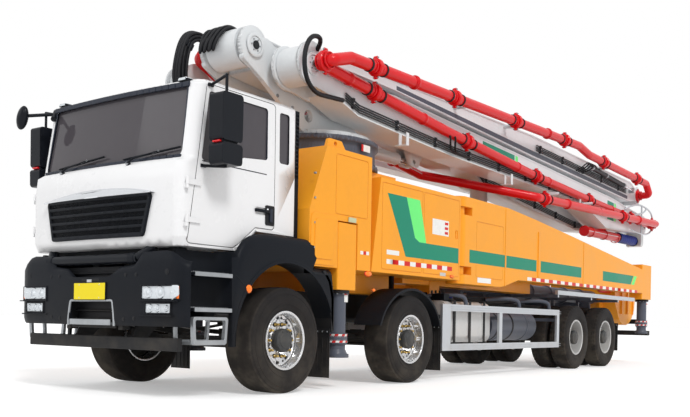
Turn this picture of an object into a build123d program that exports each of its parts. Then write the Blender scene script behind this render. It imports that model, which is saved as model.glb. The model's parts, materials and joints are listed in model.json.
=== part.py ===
"""Concrete pump truck: four-axle chassis, two-sided outriggers, slewing turret, five-section folding boom.

Millimetres. +Z is up, the ground is Z = 0, the nose points along -Y and the truck's left is +X.
The boom is modelled folded on the truck: section 1 in the centre lane, 2 and 3 in the left lane,
4 and 5 in the right lane.
"""
import math
import os

from build123d import *

os.makedirs("parts", exist_ok=True)

# ---------------------------------------------------------------- driving dimensions
RUN = 5.0                  # running clearance between moving pieces
PIN_FIT = 0.5              # play of a pin in its bore or of a slide on its pad
SEAT = 0.3                 # gap of a moving piece to its seat

# chassis
AXLE_1_Y = -5550.0
AXLE_2_Y = AXLE_1_Y + 2350.0
AXLE_3_Y = AXLE_1_Y + 7650.0
AXLE_4_Y = AXLE_3_Y + 1400.0
RAIL_OUTER_X = 430.0
RAIL_FLANGE = 80.0
RAIL_WALL = 12.0
RAIL_BOTTOM_Z = 780.0
RAIL_TOP_Z = 1080.0
RAIL_INNER_X = RAIL_OUTER_X - RAIL_FLANGE
RAIL_REAR_Y = 5480.0
CROSS_MEMBER = 90.0
UNDERRUN_Z = 500.0
UNDERRUN_H = 120.0

# wheels
STEER_TYRE_R = 535.0
STEER_TYRE_W = 385.0
STEER_TYRE_X = 1050.0
DRIVE_TYRE_R = 540.0
DRIVE_TYRE_W = 300.0
DRIVE_OUTER_X = 1090.0
DRIVE_INNER_X = 740.0
BEAD_R = 290.0
RIM_WALL = 20.0
SHOULDER = 45.0
TYRE_SIDES = 48
SPINDLE_R = 60.0
KINGPIN_X = 800.0
KINGPIN_R = 30.0
HUB_R = 105.0
STUD_CIRCLE_R = 167.0

# cab
CAB_HALF = 1120.0
CAB_WALL = 60.0
CAB_FRONT_Y = AXLE_1_Y - 1400.0
CAB_REAR_Y = CAB_FRONT_Y + 1610.0
CAB_FLOOR_Z = 1390.0
CAB_REAR_FLOOR_Z = 1600.0
CAB_ROOF_Z = 2950.0
CAB_BOW = 45.0             # how far the nose stands ahead of its corners
CAB_CORNER_R = 110.0
GLASS = 8.0
GLASS_INSET = 20.0
DOOR_GAP = 6.0
DOOR_HINGE_Y = CAB_FRONT_Y + 105.0
DOOR_HINGE_X = CAB_HALF + 22.0
HINGE_R = 15.0
RAIL_FRONT_Y = CAB_FRONT_Y + 300.0
UNDERRUN_Y = CAB_FRONT_Y + 110.0
BUMPER_HALF = 1228.0
BUMPER_WALL = 85.0
BUMPER_BOTTOM_Z = 660.0
BUMPER_TOP_Z = 1340.0

# body behind the cab
BODY_HALF = 1240.0
BODY_WALL = 130.0
PEDESTAL_FRONT_Y = CAB_REAR_Y + 110.0
PEDESTAL_REAR_Y = PEDESTAL_FRONT_Y + 1110.0
PEDESTAL_TOP_Z = 2600.0
PEDESTAL_BOTTOM_Z = 1310.0
CORE_HALF = 700.0
SLEW_Y = -3600.0
DRUM_R = 790.0
DRUM_LIP = 40.0
DRUM_TOP_Z = PEDESTAL_TOP_Z + 350.0
CABINET_FRONT_Y = PEDESTAL_REAR_Y + 20.0
CABINET_TOP_Z = 2410.0

# front outriggers
LEG_Y0 = PEDESTAL_FRONT_Y + 500.0
LEG_Y1 = LEG_Y0 + 340.0
LEG_W = 255.0
LEG_X0 = BODY_HALF - LEG_W
LEG_Z0 = 1080.0
LEG_Z1 = 1810.0
BEAM_H = 215.0
LEFT_BEAM_Z = PEDESTAL_BOTTOM_Z + 30.0
RIGHT_BEAM_Z = LEFT_BEAM_Z + BEAM_H + 20.0
BEAM_INSET = 40.0
JACK_R = 95.0
FRONT_PAD_Z = 340.0
PAD_R = 135.0

# rear outriggers
SWING_Y = -1900.0
SWING_R = 140.0
SWING_X = BODY_HALF - SWING_R
REAR_ARM_W = 265.0
REAR_ARM_X0 = BODY_HALF - REAR_ARM_W
REAR_LEG_Y0 = 5700.0
REAR_LEG_Y1 = 6060.0
REAR_PAD_Z = 600.0
KNUCKLE_BANDS = ((1400.0, 1500.0), (2200.0, 2300.0))   # (bottom, top) of each hinge bracket
ARM_BOTTOM_Z = 1270.0
ARM_TOP_Z = 2440.0
HINGE_PIN_R = 40.0

# hopper
HOPPER_FRONT_Y = 5440.0
HOPPER_HALF = 700.0
HOPPER_WALL = 30.0
HOPPER_TOP_Z = 1750.0

# boom joints, (y, z) of the cross axes
HEAD_YZ = (-5120.0, DRUM_TOP_Z + 820.0)
J12_YZ = (6800.0, DRUM_TOP_Z)
J23_YZ = (-4700.0, DRUM_TOP_Z + 640.0)
J34_YZ = (6350.0, DRUM_TOP_Z + 570.0)
J45_YZ = (-5050.0, DRUM_TOP_Z + 550.0)
LANE_1 = 220.0
LANE_L0, LANE_L1 = 420.0, 820.0
LANE_R0, LANE_R1 = 650.0, 940.0
CHEEK_X0, CHEEK_X1 = 260.0, 320.0
HEAD_R = 215.0
BOSS_R = 190.0
FORK_R = 250.0
FORK_PLATE = 40.0
PIN_R = 70.0
PLATE = 25.0               # side plates and flanges of the box sections
PIPE_R = 70.0
SMALL_PIPE_R = 62.0
COUPLING = 18.0            # how far a coupling stands out from its pipe
COUPLING_W = 70.0
END_FLANGE = 30.0
END_FLANGE_R = 85.0
PIPE_1_X = 1100.0
PIPE_2_X = 900.0
PIPE_3_X = 1080.0
PIPE_4_X = -1010.0
PIPE_5_X = -1170.0
END_SPIGOT = 120.0
END_SPIGOT_R = 57.0

SIDES = (("left", 1.0), ("right", -1.0))


# ---------------------------------------------------------------- small helpers
def flat_outline(points, radius, grow):
    """Closed outline of points in the current sketch, with its corners rounded and then grown."""
    outline = Polygon(*points, align=None)
    if radius:
        outline = fillet(outline.vertices(), radius)
    if grow:
        offset(outline, amount=grow, kind=Kind.INTERSECTION, mode=Mode.REPLACE)


def profile_x(points, x0, x1, mode=Mode.ADD, radius=0.0, grow=0.0):
    """Side outline, points (y, z), run across the truck from x0 to x1."""
    with BuildSketch(Plane.YZ.offset(min(x0, x1))) as outline:
        flat_outline(points, radius, grow)
    extrude(outline.sketch, amount=abs(x1 - x0), mode=mode)


def profile_y(points, y0, y1, mode=Mode.ADD, radius=0.0, grow=0.0):
    """Cross-section, points (x, z), run along the truck from y0 to y1."""
    with BuildSketch(Plane.XZ.offset(-max(y0, y1))) as outline:
        flat_outline(points, radius, grow)
    extrude(outline.sketch, amount=abs(y1 - y0), mode=mode)


def profile_z(points, z0, z1, mode=Mode.ADD, radius=0.0, grow=0.0):
    """Plan outline, points (x, y), raised from z0 to z1."""
    with BuildSketch(Plane.XY.offset(z0)) as outline:
        flat_outline(points, radius, grow)
    extrude(outline.sketch, amount=z1 - z0, mode=mode)


def block(x0, x1, y0, y1, z0, z1, mode=Mode.ADD, radius=0.0):
    """Upright block between two corners, with its upright edges rounded."""
    with BuildSketch(Plane.XY.offset(z0)) as outline:
        with Locations(((x0 + x1) / 2, (y0 + y1) / 2)):
            if radius:
                RectangleRounded(abs(x1 - x0), abs(y1 - y0), radius)
            else:
                Rectangle(abs(x1 - x0), abs(y1 - y0))
    extrude(outline.sketch, amount=z1 - z0, mode=mode)


def rod_x(x0, x1, yz, radius, mode=Mode.ADD):
    """Round bar across the truck."""
    with BuildSketch(Plane.YZ.offset(min(x0, x1))) as outline:
        with Locations(yz):
            Circle(radius)
    extrude(outline.sketch, amount=abs(x1 - x0), mode=mode)


def rod_z(xy, z0, z1, radius, mode=Mode.ADD):
    """Upright round bar."""
    with BuildSketch(Plane.XY.offset(z0)) as outline:
        with Locations(xy):
            Circle(radius)
    extrude(outline.sketch, amount=z1 - z0, mode=mode)


def rod_between(start, end, radius, mode=Mode.ADD):
    """Round bar between two points."""
    axis = Vector(*end) - Vector(*start)
    with BuildSketch(Plane(origin=start, z_dir=axis)) as outline:
        Circle(radius)
    extrude(outline.sketch, amount=axis.length, mode=mode)


def pipe_run(points, bend, radius=PIPE_R):
    """Pipe through straight runs, with a round elbow at each bend."""
    with BuildLine() as route:
        FilletPolyline(*points, radius=bend)
    for stretch in route.edges():
        with BuildSketch(Plane(origin=stretch @ 0, z_dir=stretch % 0)) as section:
            Circle(radius)
        if stretch.geom_type == GeomType.LINE:
            extrude(section.sketch, amount=stretch.length)
        else:
            centre = stretch.arc_center
            pivot = Axis(centre, ((stretch @ 0) - centre).cross(stretch % 0))
            revolve(section.sketch, pivot, math.degrees(stretch.length / stretch.radius))


def coupling(start, end, distance, stand, radius=PIPE_R):
    """Clamped coupling on the straight run from start to end, at a distance from its start."""
    way = (Vector(*end) - Vector(*start)).normalized()
    middle = Vector(*start) + way * distance
    for reach, height in ((COUPLING_W / 2, stand * 0.55), (COUPLING_W / 6, stand)):
        rod_between(tuple(middle - way * reach), tuple(middle + way * reach), radius + height)


def finish(piece, label):
    """Name a finished piece and write it."""
    piece.part.label = label
    export_step(piece.part, f"parts/{label}.step")


# ---------------------------------------------------------------- chassis
CROSS_MEMBERS = (RAIL_FRONT_Y + 130, AXLE_1_Y + 850, AXLE_2_Y + 700, AXLE_2_Y + 2200, AXLE_3_Y - 1800,
                 AXLE_3_Y - 700, AXLE_3_Y + 700, AXLE_4_Y + 700, RAIL_REAR_Y - 280)
PROP_SHAFT_R = 55.0

with BuildPart() as chassis_frame:
    for name, side in SIDES:
        outer = side * RAIL_OUTER_X
        inner = side * RAIL_INNER_X
        web = side * (RAIL_OUTER_X - RAIL_WALL)
        block(inner, outer, RAIL_FRONT_Y, RAIL_REAR_Y, RAIL_BOTTOM_Z, RAIL_TOP_Z)
        block(inner, web, RAIL_FRONT_Y, RAIL_REAR_Y, RAIL_BOTTOM_Z + RAIL_WALL, RAIL_TOP_Z - RAIL_WALL,
              mode=Mode.SUBTRACT)
        profile_x(
            [(RAIL_FRONT_Y, RAIL_BOTTOM_Z), (RAIL_FRONT_Y + 260, RAIL_BOTTOM_Z),
             (UNDERRUN_Y + 60, UNDERRUN_Z - UNDERRUN_H / 2), (UNDERRUN_Y, UNDERRUN_Z - UNDERRUN_H / 2),
             (UNDERRUN_Y, UNDERRUN_Z + UNDERRUN_H / 2), (RAIL_FRONT_Y, RAIL_BOTTOM_Z + 120)],
            side * (RAIL_OUTER_X - 30), outer)
    for y in CROSS_MEMBERS:
        block(-RAIL_OUTER_X + RAIL_WALL, RAIL_OUTER_X - RAIL_WALL, y - CROSS_MEMBER / 2, y + CROSS_MEMBER / 2,
              RAIL_TOP_Z - 200, RAIL_TOP_Z - RAIL_WALL)
        block(-RAIL_INNER_X + 40, RAIL_INNER_X - 40, y - CROSS_MEMBER / 2 + RAIL_WALL, y + CROSS_MEMBER / 2,
              RAIL_TOP_Z - 200 + RAIL_WALL, RAIL_TOP_Z - 2 * RAIL_WALL, mode=Mode.SUBTRACT)
    profile_x([(UNDERRUN_Y - 60, UNDERRUN_Z - UNDERRUN_H / 2), (UNDERRUN_Y, UNDERRUN_Z - UNDERRUN_H / 2),
               (UNDERRUN_Y, UNDERRUN_Z + UNDERRUN_H / 2), (UNDERRUN_Y - 60, UNDERRUN_Z + UNDERRUN_H / 2)],
              -CAB_HALF + 15, CAB_HALF - 15, radius=12)
    profile_x([(6180, 560), (6300, 560), (6300, 660), (6180, 660)], -BODY_HALF + 90, BODY_HALF - 90, radius=12)
    for name, side in SIDES:
        profile_x([(RAIL_REAR_Y - 230, RAIL_BOTTOM_Z), (RAIL_REAR_Y, RAIL_BOTTOM_Z), (RAIL_REAR_Y + 60, 700),
                   (6300, 660), (6300, 560), (5400, 560)], side * (RAIL_OUTER_X - 50), side * RAIL_OUTER_X)
        block(side * RAIL_INNER_X, side * RAIL_OUTER_X, RAIL_FRONT_Y + 10, RAIL_FRONT_Y + 90, RAIL_TOP_Z, CAB_FLOOR_Z)
        block(side * RAIL_INNER_X, side * RAIL_OUTER_X, CAB_REAR_Y - 110, CAB_REAR_Y - 50, RAIL_TOP_Z,
              CAB_REAR_FLOOR_Z)
finish(chassis_frame, "chassis_frame")

with BuildPart() as engine_block:
    profile_y([(-300, 800), (-330, 1000), (-330, 1290), (-180, 1370), (180, 1370), (330, 1290),
               (330, 1000), (300, 800)], -6330, -5250, radius=25)
    block(-RAIL_OUTER_X, RAIL_OUTER_X, -5900, -5800, RAIL_TOP_Z, RAIL_TOP_Z + 30)
    rod_between((0, -6330, 1080), (0, -6420, 1080), 250)
    profile_y([(-170, 700), (-220, 800), (-220, 1000), (220, 1000), (220, 800), (170, 700)], -5250, -4900)
    rod_between((0, -4900, 820), (0, -4860, 820), 90)
finish(engine_block, "engine_block")

SPRING_LEAF = 22.0
SPRING_X0 = RAIL_INNER_X
with BuildPart() as axle_beams:
    for y in (AXLE_1_Y, AXLE_2_Y):
        profile_x([(y - 60, 440), (y + 60, 440), (y + 60, 465), (y + 22, 475), (y + 22, 525), (y + 60, 535),
                   (y + 60, 560), (y - 60, 560), (y - 60, 535), (y - 22, 525), (y - 22, 475), (y - 60, 465)],
                  -620, 620)
        for name, side in SIDES:
            profile_y([(side * 560, 440), (side * 560, 560), (side * (KINGPIN_X - 30), 600),
                       (side * (KINGPIN_X + 10), 600), (side * (KINGPIN_X + 10), 470),
                       (side * (KINGPIN_X - 60), 470)], y - 50, y + 50)
            rod_z((side * KINGPIN_X, y), 455, 615, 60)
            rod_z((side * KINGPIN_X, y), 455, 615, KINGPIN_R + PIN_FIT, mode=Mode.SUBTRACT)
            for leaf in range(4):
                reach = 750 - 150 * leaf
                top, sag = 690 - SPRING_LEAF * leaf, 62 * reach / 750
                with BuildSketch(Plane.YZ.offset(min(side * SPRING_X0, side * RAIL_OUTER_X))) as bow:
                    with BuildLine():
                        ThreePointArc((y - reach, top), (y, top - sag), (y + reach, top))
                        Line((y + reach, top), (y + reach, top - SPRING_LEAF))
                        ThreePointArc((y + reach, top - SPRING_LEAF), (y, top - sag - SPRING_LEAF),
                                      (y - reach, top - SPRING_LEAF))
                        Line((y - reach, top - SPRING_LEAF), (y - reach, top))
                    make_face()
                extrude(bow.sketch, amount=RAIL_FLANGE)
            block(side * SPRING_X0, side * RAIL_OUTER_X, y - 70, y + 70, 550, 640)
            for end in (-1, 1):
                block(side * SPRING_X0, side * RAIL_OUTER_X, y + end * 750, y + end * 690, 665, RAIL_BOTTOM_Z)
    for y in (AXLE_3_Y, AXLE_4_Y):
        rod_x(-DRIVE_OUTER_X - 70, DRIVE_OUTER_X + 70, (y, DRIVE_TYRE_R), SPINDLE_R)
        rod_x(-580, 580, (y, DRIVE_TYRE_R), 85)
        with BuildSketch(Plane.XZ.offset(-y)) as housing:
            with Locations((0, DRIVE_TYRE_R)):
                Circle(200)
        extrude(housing.sketch, amount=150, both=True, taper=18)
        for name, side in SIDES:
            block(side * SPRING_X0, side * RAIL_OUTER_X, y - 110, y + 110, DRIVE_TYRE_R, 700)
    for name, side in SIDES:
        centre = (AXLE_3_Y + AXLE_4_Y) / 2
        profile_x([(AXLE_3_Y - 150, 700), (centre - 150, RAIL_BOTTOM_Z), (centre + 150, RAIL_BOTTOM_Z),
                   (AXLE_4_Y + 150, 700), (AXLE_4_Y + 150, 620), (AXLE_3_Y - 150, 620)],
                  side * SPRING_X0, side * RAIL_OUTER_X)
    for y0, z0, y1, z1 in ((-4855, 820, -2000, 760), (-2000, 760, AXLE_3_Y - 130, 600),
                           (AXLE_3_Y + 130, DRIVE_TYRE_R, AXLE_4_Y - 130, DRIVE_TYRE_R)):
        rod_between((0, y0, z0), (0, y1, z1), PROP_SHAFT_R)
    block(-RAIL_INNER_X - 65, RAIL_INNER_X + 65, -2030, -1970, 730, 779.5)
finish(axle_beams, "axle_beams")


# ---------------------------------------------------------------- wheels
def tyre_ring(x_mid, y, z, radius, width):
    """One tyre, a many-sided ring about a cross axis with bevelled shoulders."""
    for way in (-1, 1):
        layers = ((0, radius), (width / 2 - SHOULDER, radius), (width / 2, radius - SHOULDER * 1.5))
        for (start, outer), (stop, inner) in zip(layers, layers[1:]):
            lean = math.degrees(math.atan2(outer - inner, stop - start))
            with BuildSketch(Plane(origin=(x_mid + way * start, y, z), z_dir=(way, 0, 0))) as tread:
                RegularPolygon(outer, TYRE_SIDES)
            extrude(tread.sketch, amount=stop - start, taper=lean)
    with BuildSketch(Plane(origin=(x_mid - width / 2, y, z), z_dir=(1, 0, 0))) as bead:
        RegularPolygon(BEAD_R, TYRE_SIDES, major_radius=False)
    extrude(bead.sketch, amount=width, mode=Mode.SUBTRACT)


def rim_barrel(x0, x1, y, z):
    """Barrel of a rim, open at both ends."""
    rod_x(x0, x1, (y, z), BEAD_R - SEAT)
    rod_x(x0, x1, (y, z), BEAD_R - RIM_WALL, mode=Mode.SUBTRACT)


def studs(x0, x1, y, z):
    """Circle of wheel nuts."""
    with BuildSketch(Plane.YZ.offset(min(x0, x1))) as nuts:
        with Locations((y, z)):
            with PolarLocations(STUD_CIRCLE_R, 10):
                RegularPolygon(16, 6)
    extrude(nuts.sketch, amount=abs(x1 - x0))


for index, y in enumerate((AXLE_1_Y, AXLE_2_Y), start=1):
    for name, side in SIDES:
        z = STEER_TYRE_R
        with BuildPart() as knuckle:
            rod_z((side * KINGPIN_X, y), 375, 450, 60)
            rod_z((side * KINGPIN_X, y), 620, 695, 60)
            rod_z((side * KINGPIN_X, y), 375, 695, KINGPIN_R)
            profile_y([(side * KINGPIN_X, 375), (side * 900, 375), (side * 900, 695), (side * KINGPIN_X, 695),
                       (side * KINGPIN_X, 620), (side * 866, 620), (side * 866, 450),
                       (side * KINGPIN_X, 450)], y - 55, y + 55)
            rod_x(side * 880, side * (STEER_TYRE_X + 115), (y, z), SPINDLE_R)
        finish(knuckle, f"knuckle_{index}_{name}")

        with BuildPart() as tyre:
            tyre_ring(side * STEER_TYRE_X, y, z, STEER_TYRE_R, STEER_TYRE_W)
        finish(tyre, f"tyre_{index}_{name}")

        with BuildPart() as rim:
            half = STEER_TYRE_W / 2 - 25
            disc = STEER_TYRE_X + 40
            rim_barrel(side * (STEER_TYRE_X - half), side * (STEER_TYRE_X + half), y, z)
            rod_x(side * disc, side * (disc + 22), (y, z), BEAD_R - RIM_WALL + 2)
            rod_x(side * (STEER_TYRE_X - 60), side * (disc + 95), (y, z), HUB_R)
            rod_x(side * (STEER_TYRE_X - 70), side * (disc + 85), (y, z), SPINDLE_R + PIN_FIT, mode=Mode.SUBTRACT)
            studs(side * (disc + 20), side * (disc + 55), y, z)
            with BuildSketch(Plane.YZ.offset(min(side * (disc - 10), side * (disc + 30)))) as vents:
                with Locations((y, z)):
                    with PolarLocations(228, 10, start_angle=18):
                        Circle(20)
            extrude(vents.sketch, amount=40, mode=Mode.SUBTRACT)
        finish(rim, f"rim_{index}_{name}")

for index, y in enumerate((AXLE_3_Y, AXLE_4_Y), start=3):
    for name, side in SIDES:
        z = DRIVE_TYRE_R
        between = (DRIVE_INNER_X + DRIVE_OUTER_X) / 2
        with BuildPart() as tyre:
            for x_mid in (DRIVE_INNER_X, DRIVE_OUTER_X):
                tyre_ring(side * x_mid, y, z, DRIVE_TYRE_R, DRIVE_TYRE_W)
        finish(tyre, f"tyre_{index}_{name}")

        with BuildPart() as rim:
            half = DRIVE_TYRE_W / 2 - 25
            for x_mid in (DRIVE_INNER_X, DRIVE_OUTER_X):
                rim_barrel(side * (x_mid - half), side * (x_mid + half), y, z)
            rod_x(side * (between - 56), side * (between + 56), (y, z), BEAD_R - SEAT)
            rod_x(side * (between - 60), side * (between - 22), (y, z), 250, mode=Mode.SUBTRACT)
            rod_x(side * (between + 22), side * (between + 60), (y, z), 250, mode=Mode.SUBTRACT)
            rod_x(side * (DRIVE_INNER_X - 130), side * (between + 10), (y, z), 205)
            rod_x(side * (DRIVE_INNER_X - 140), side * (between - 40), (y, z), 190, mode=Mode.SUBTRACT)
            rod_x(side * (between - 100), side * (DRIVE_OUTER_X + 95), (y, z), HUB_R + 5)
            rod_x(side * (DRIVE_INNER_X - 100), side * (DRIVE_OUTER_X + 82), (y, z), SPINDLE_R + PIN_FIT,
                  mode=Mode.SUBTRACT)
            studs(side * (between + 20), side * (between + 58), y, z)
        finish(rim, f"rim_{index}_{name}")

# ---------------------------------------------------------------- cab
WAIST_Z = CAB_FLOOR_Z + 760
EAVES_Z = CAB_ROOF_Z - 50
CAB_LEVELS = ((CAB_FLOOR_Z, 25, 20), (CAB_FLOOR_Z + 90, 0, 0), (WAIST_Z - 150, 0, 0), (WAIST_Z, 20, 0),
              (WAIST_Z + 50, 100, 0), (EAVES_Z, 208, 6), (CAB_ROOF_Z, 290, 75))   # (height, setback, side taken off)
FLOOR_STEP = (CAB_FRONT_Y + 770, CAB_FRONT_Y + 1050)
SILL_Z = CAB_FLOOR_Z + 30
REAR_SILL_Z = CAB_REAR_FLOOR_Z + 40
LINTEL_Z = EAVES_Z - 10
DOOR_REAR_Y = CAB_REAR_Y - 310
DOOR = [(CAB_FRONT_Y + 135, SILL_Z), (CAB_FRONT_Y + 355, LINTEL_Z), (DOOR_REAR_Y, LINTEL_Z),
        (DOOR_REAR_Y, REAR_SILL_Z), (FLOOR_STEP[1] - 25, REAR_SILL_Z), (FLOOR_STEP[0] - 30, SILL_Z)]
DOOR_WINDOW = [(CAB_FRONT_Y + 290, WAIST_Z + 30), (CAB_FRONT_Y + 385, LINTEL_Z - 60),
               (DOOR_REAR_Y - 110, LINTEL_Z - 60), (DOOR_REAR_Y - 110, WAIST_Z + 170),
               (CAB_FRONT_Y + 850, WAIST_Z + 140), (CAB_FRONT_Y + 650, WAIST_Z + 50)]
QUARTER = [(DOOR_REAR_Y + 70, WAIST_Z + 170), (DOOR_REAR_Y + 70, LINTEL_Z - 60),
           (CAB_REAR_Y - 90, LINTEL_Z - 60), (CAB_REAR_Y - 90, WAIST_Z + 170)]
SCREEN = [(-CAB_HALF + 110, WAIST_Z + 60), (-CAB_HALF + 145, EAVES_Z - 20),
          (CAB_HALF - 145, EAVES_Z - 20), (CAB_HALF - 110, WAIST_Z + 60)]
GRILLE = [(-CAB_HALF + 440, CAB_FLOOR_Z + 90), (-CAB_HALF + 340, WAIST_Z - 270),
          (CAB_HALF - 340, WAIST_Z - 270), (CAB_HALF - 440, CAB_FLOOR_Z + 90)]


def cab_form(inset):
    """Form of the cab drawn in by inset: bowed nose, raked screen, round front corners, stepped floor."""
    levels = list(CAB_LEVELS)
    levels[0] = (CAB_FLOOR_Z + inset, *levels[0][1:])
    levels[-1] = (CAB_ROOF_Z - inset, *levels[-1][1:])
    sections = []
    for z, setback, taken in levels:
        half, rear = CAB_HALF - taken - inset, CAB_REAR_Y - inset
        corner = CAB_CORNER_R - inset
        nose = CAB_FRONT_Y + setback + inset
        brow, shoulder, turn = nose + CAB_BOW, nose + CAB_BOW + corner, corner * (1 - math.sqrt(0.5))
        with BuildSketch(Plane.XY.offset(z)) as plan:
            with BuildLine():
                Polyline((-half, shoulder), (-half, rear), (half, rear), (half, shoulder))
                ThreePointArc((half, shoulder), (half - turn, brow + turn), (half - corner, brow))
                ThreePointArc((half - corner, brow), (0, nose), (corner - half, brow))
                ThreePointArc((corner - half, brow), (turn - half, brow + turn), (-half, shoulder))
            make_face()
        sections.append(plan.sketch.face())
    loft(sections=sections, ruled=True)
    profile_x([(FLOOR_STEP[0], CAB_FLOOR_Z + inset), (FLOOR_STEP[1], CAB_REAR_FLOOR_Z + inset),
               (CAB_REAR_Y + 50, CAB_REAR_FLOOR_Z + inset), (CAB_REAR_Y + 50, CAB_FLOOR_Z - 50),
               (FLOOR_STEP[0], CAB_FLOOR_Z - 50)], -CAB_HALF - 50, CAB_HALF + 50, mode=Mode.SUBTRACT)


with BuildPart() as cab_outer:
    cab_form(0)
with BuildPart() as cab_inner:
    cab_form(CAB_WALL)
with BuildPart() as glass_skin:
    cab_form(GLASS_INSET)
with BuildPart() as glass_back:
    cab_form(GLASS_INSET + GLASS)
with BuildPart() as grille_skin:
    cab_form(-28)
with BuildPart() as grille_bed:
    cab_form(-10)

with BuildPart() as cab_shell:
    add(cab_outer.part)
    add(cab_inner.part, mode=Mode.SUBTRACT)
    profile_y(SCREEN, CAB_FRONT_Y - 50, CAB_FRONT_Y + 330, mode=Mode.SUBTRACT, radius=50)
    for name, side in SIDES:
        inside, outside = side * (CAB_HALF - CAB_WALL - 15), side * (CAB_HALF + 50)
        profile_x(DOOR, inside, outside, mode=Mode.SUBTRACT, radius=40, grow=DOOR_GAP)
        profile_x(QUARTER, inside, outside, mode=Mode.SUBTRACT, radius=30)
        for z in (SILL_Z + 140, SILL_Z + 480):
            rod_z((side * DOOR_HINGE_X, DOOR_HINGE_Y), z, z + 40, HINGE_R)
            block(side * (CAB_HALF - 50), side * DOOR_HINGE_X, DOOR_HINGE_Y - 10, DOOR_HINGE_Y + 10, z, z + 40)
    block(-520, 520, CAB_FRONT_Y + 500, CAB_FRONT_Y + 1150, CAB_ROOF_Z - 20, CAB_ROOF_Z + 18, radius=40)
finish(cab_shell, "cab_shell")

with BuildPart() as screen_glass:
    add(glass_skin.part)
    add(glass_back.part, mode=Mode.SUBTRACT)
    profile_y(SCREEN, CAB_FRONT_Y - 50, CAB_FRONT_Y + 330, mode=Mode.INTERSECT, radius=50)

# ---------------------------------------------------------------- bumper and lamps
BUMPER_NOSE_Y = CAB_FRONT_Y - 50
BUMPER_REAR_Y = CAB_FRONT_Y + 85
LAMP_FLOOR_Y = CAB_FRONT_Y + 35
HEADLAMP = [(BUMPER_HALF - 520, 905), (BUMPER_HALF - 505, 1030), (BUMPER_HALF - 65, 1030),
            (BUMPER_HALF - 60, 945), (BUMPER_HALF - 130, 900)]
FOG_LAMP = [(BUMPER_HALF - 470, 775), (BUMPER_HALF - 465, 875), (BUMPER_HALF - 150, 875), (BUMPER_HALF - 160, 775)]
with BuildPart() as bumper_form:
    with BuildSketch(Plane.XY.offset(BUMPER_BOTTOM_Z)) as plan:
        with BuildLine():
            ThreePointArc((-BUMPER_HALF, BUMPER_REAR_Y), (-BUMPER_HALF + 38, BUMPER_REAR_Y - 60),
                          (-BUMPER_HALF + 170, BUMPER_NOSE_Y + 38))
            ThreePointArc((-BUMPER_HALF + 170, BUMPER_NOSE_Y + 38), (0, BUMPER_NOSE_Y),
                          (BUMPER_HALF - 170, BUMPER_NOSE_Y + 38))
            ThreePointArc((BUMPER_HALF - 170, BUMPER_NOSE_Y + 38), (BUMPER_HALF - 38, BUMPER_REAR_Y - 60),
                          (BUMPER_HALF, BUMPER_REAR_Y))
            Polyline((BUMPER_HALF, BUMPER_REAR_Y), (BUMPER_HALF - BUMPER_WALL, BUMPER_REAR_Y),
                     (BUMPER_HALF - 190, BUMPER_NOSE_Y + 120), (-BUMPER_HALF + 190, BUMPER_NOSE_Y + 120),
                     (-BUMPER_HALF + BUMPER_WALL, BUMPER_REAR_Y), (-BUMPER_HALF, BUMPER_REAR_Y))
        make_face()
    extrude(plan.sketch, amount=BUMPER_TOP_Z - BUMPER_BOTTOM_Z)
with BuildPart() as lamp_pockets:
    for name, side in SIDES:
        for outline in (HEADLAMP, FOG_LAMP):
            profile_y([(side * x, z) for x, z in outline], BUMPER_NOSE_Y - 20, LAMP_FLOOR_Y, radius=18)
with BuildPart() as lamp_lenses:
    add(bumper_form.part)
    add(lamp_pockets.part, mode=Mode.INTERSECT)

with BuildPart() as cab_glass:
    add(screen_glass.part)
    add(lamp_lenses.part)
    for name, side in SIDES:
        profile_x(QUARTER, side * (CAB_HALF - GLASS_INSET - GLASS), side * (CAB_HALF - GLASS_INSET), radius=30)
finish(cab_glass, "cab_glass")

with BuildPart() as front_bumper:
    add(bumper_form.part)
    add(lamp_pockets.part, mode=Mode.SUBTRACT)
    for name, side in SIDES:
        profile_y([(side * (BUMPER_HALF + 30), BUMPER_TOP_Z - 100), (side * (BUMPER_HALF + 30), BUMPER_TOP_Z + 60),
                   (side * 900, BUMPER_TOP_Z + 60), (side * 960, BUMPER_TOP_Z - 100)],
                  BUMPER_NOSE_Y - 10, BUMPER_REAR_Y + 10, mode=Mode.SUBTRACT)
        block(side * RAIL_INNER_X, side * RAIL_OUTER_X, BUMPER_NOSE_Y + 119, RAIL_FRONT_Y, 920, 1040)
        profile_y([(side * 620, 1130), (side * 600, 1180), (side * 1050, 1180), (side * 1080, 1130)],
                  BUMPER_NOSE_Y - 10, BUMPER_NOSE_Y + 75, mode=Mode.SUBTRACT, radius=15)
    profile_y([(-470, BUMPER_BOTTOM_Z - 60), (-470, 880), (-390, 1120), (390, 1120), (470, 880),
               (470, BUMPER_BOTTOM_Z - 60)], BUMPER_NOSE_Y - 10, BUMPER_NOSE_Y + 70, mode=Mode.SUBTRACT, radius=25)
    profile_y([(-230, 900), (230, 900), (230, 1050), (-230, 1050)], BUMPER_NOSE_Y + 55, BUMPER_NOSE_Y + 75)
    profile_y([(-360, 665), (360, 665), (360, 880), (-360, 880)], BUMPER_NOSE_Y + 35, BUMPER_NOSE_Y + 75)
    profile_y([(-310, 710), (310, 710), (310, 900), (-310, 900)], BUMPER_NOSE_Y, BUMPER_NOSE_Y + 70,
              mode=Mode.SUBTRACT)
    profile_y([(-230, 895), (230, 895), (230, 1050), (-230, 1050)], BUMPER_NOSE_Y + 55, BUMPER_NOSE_Y + 75)
finish(front_bumper, "front_bumper")

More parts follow.
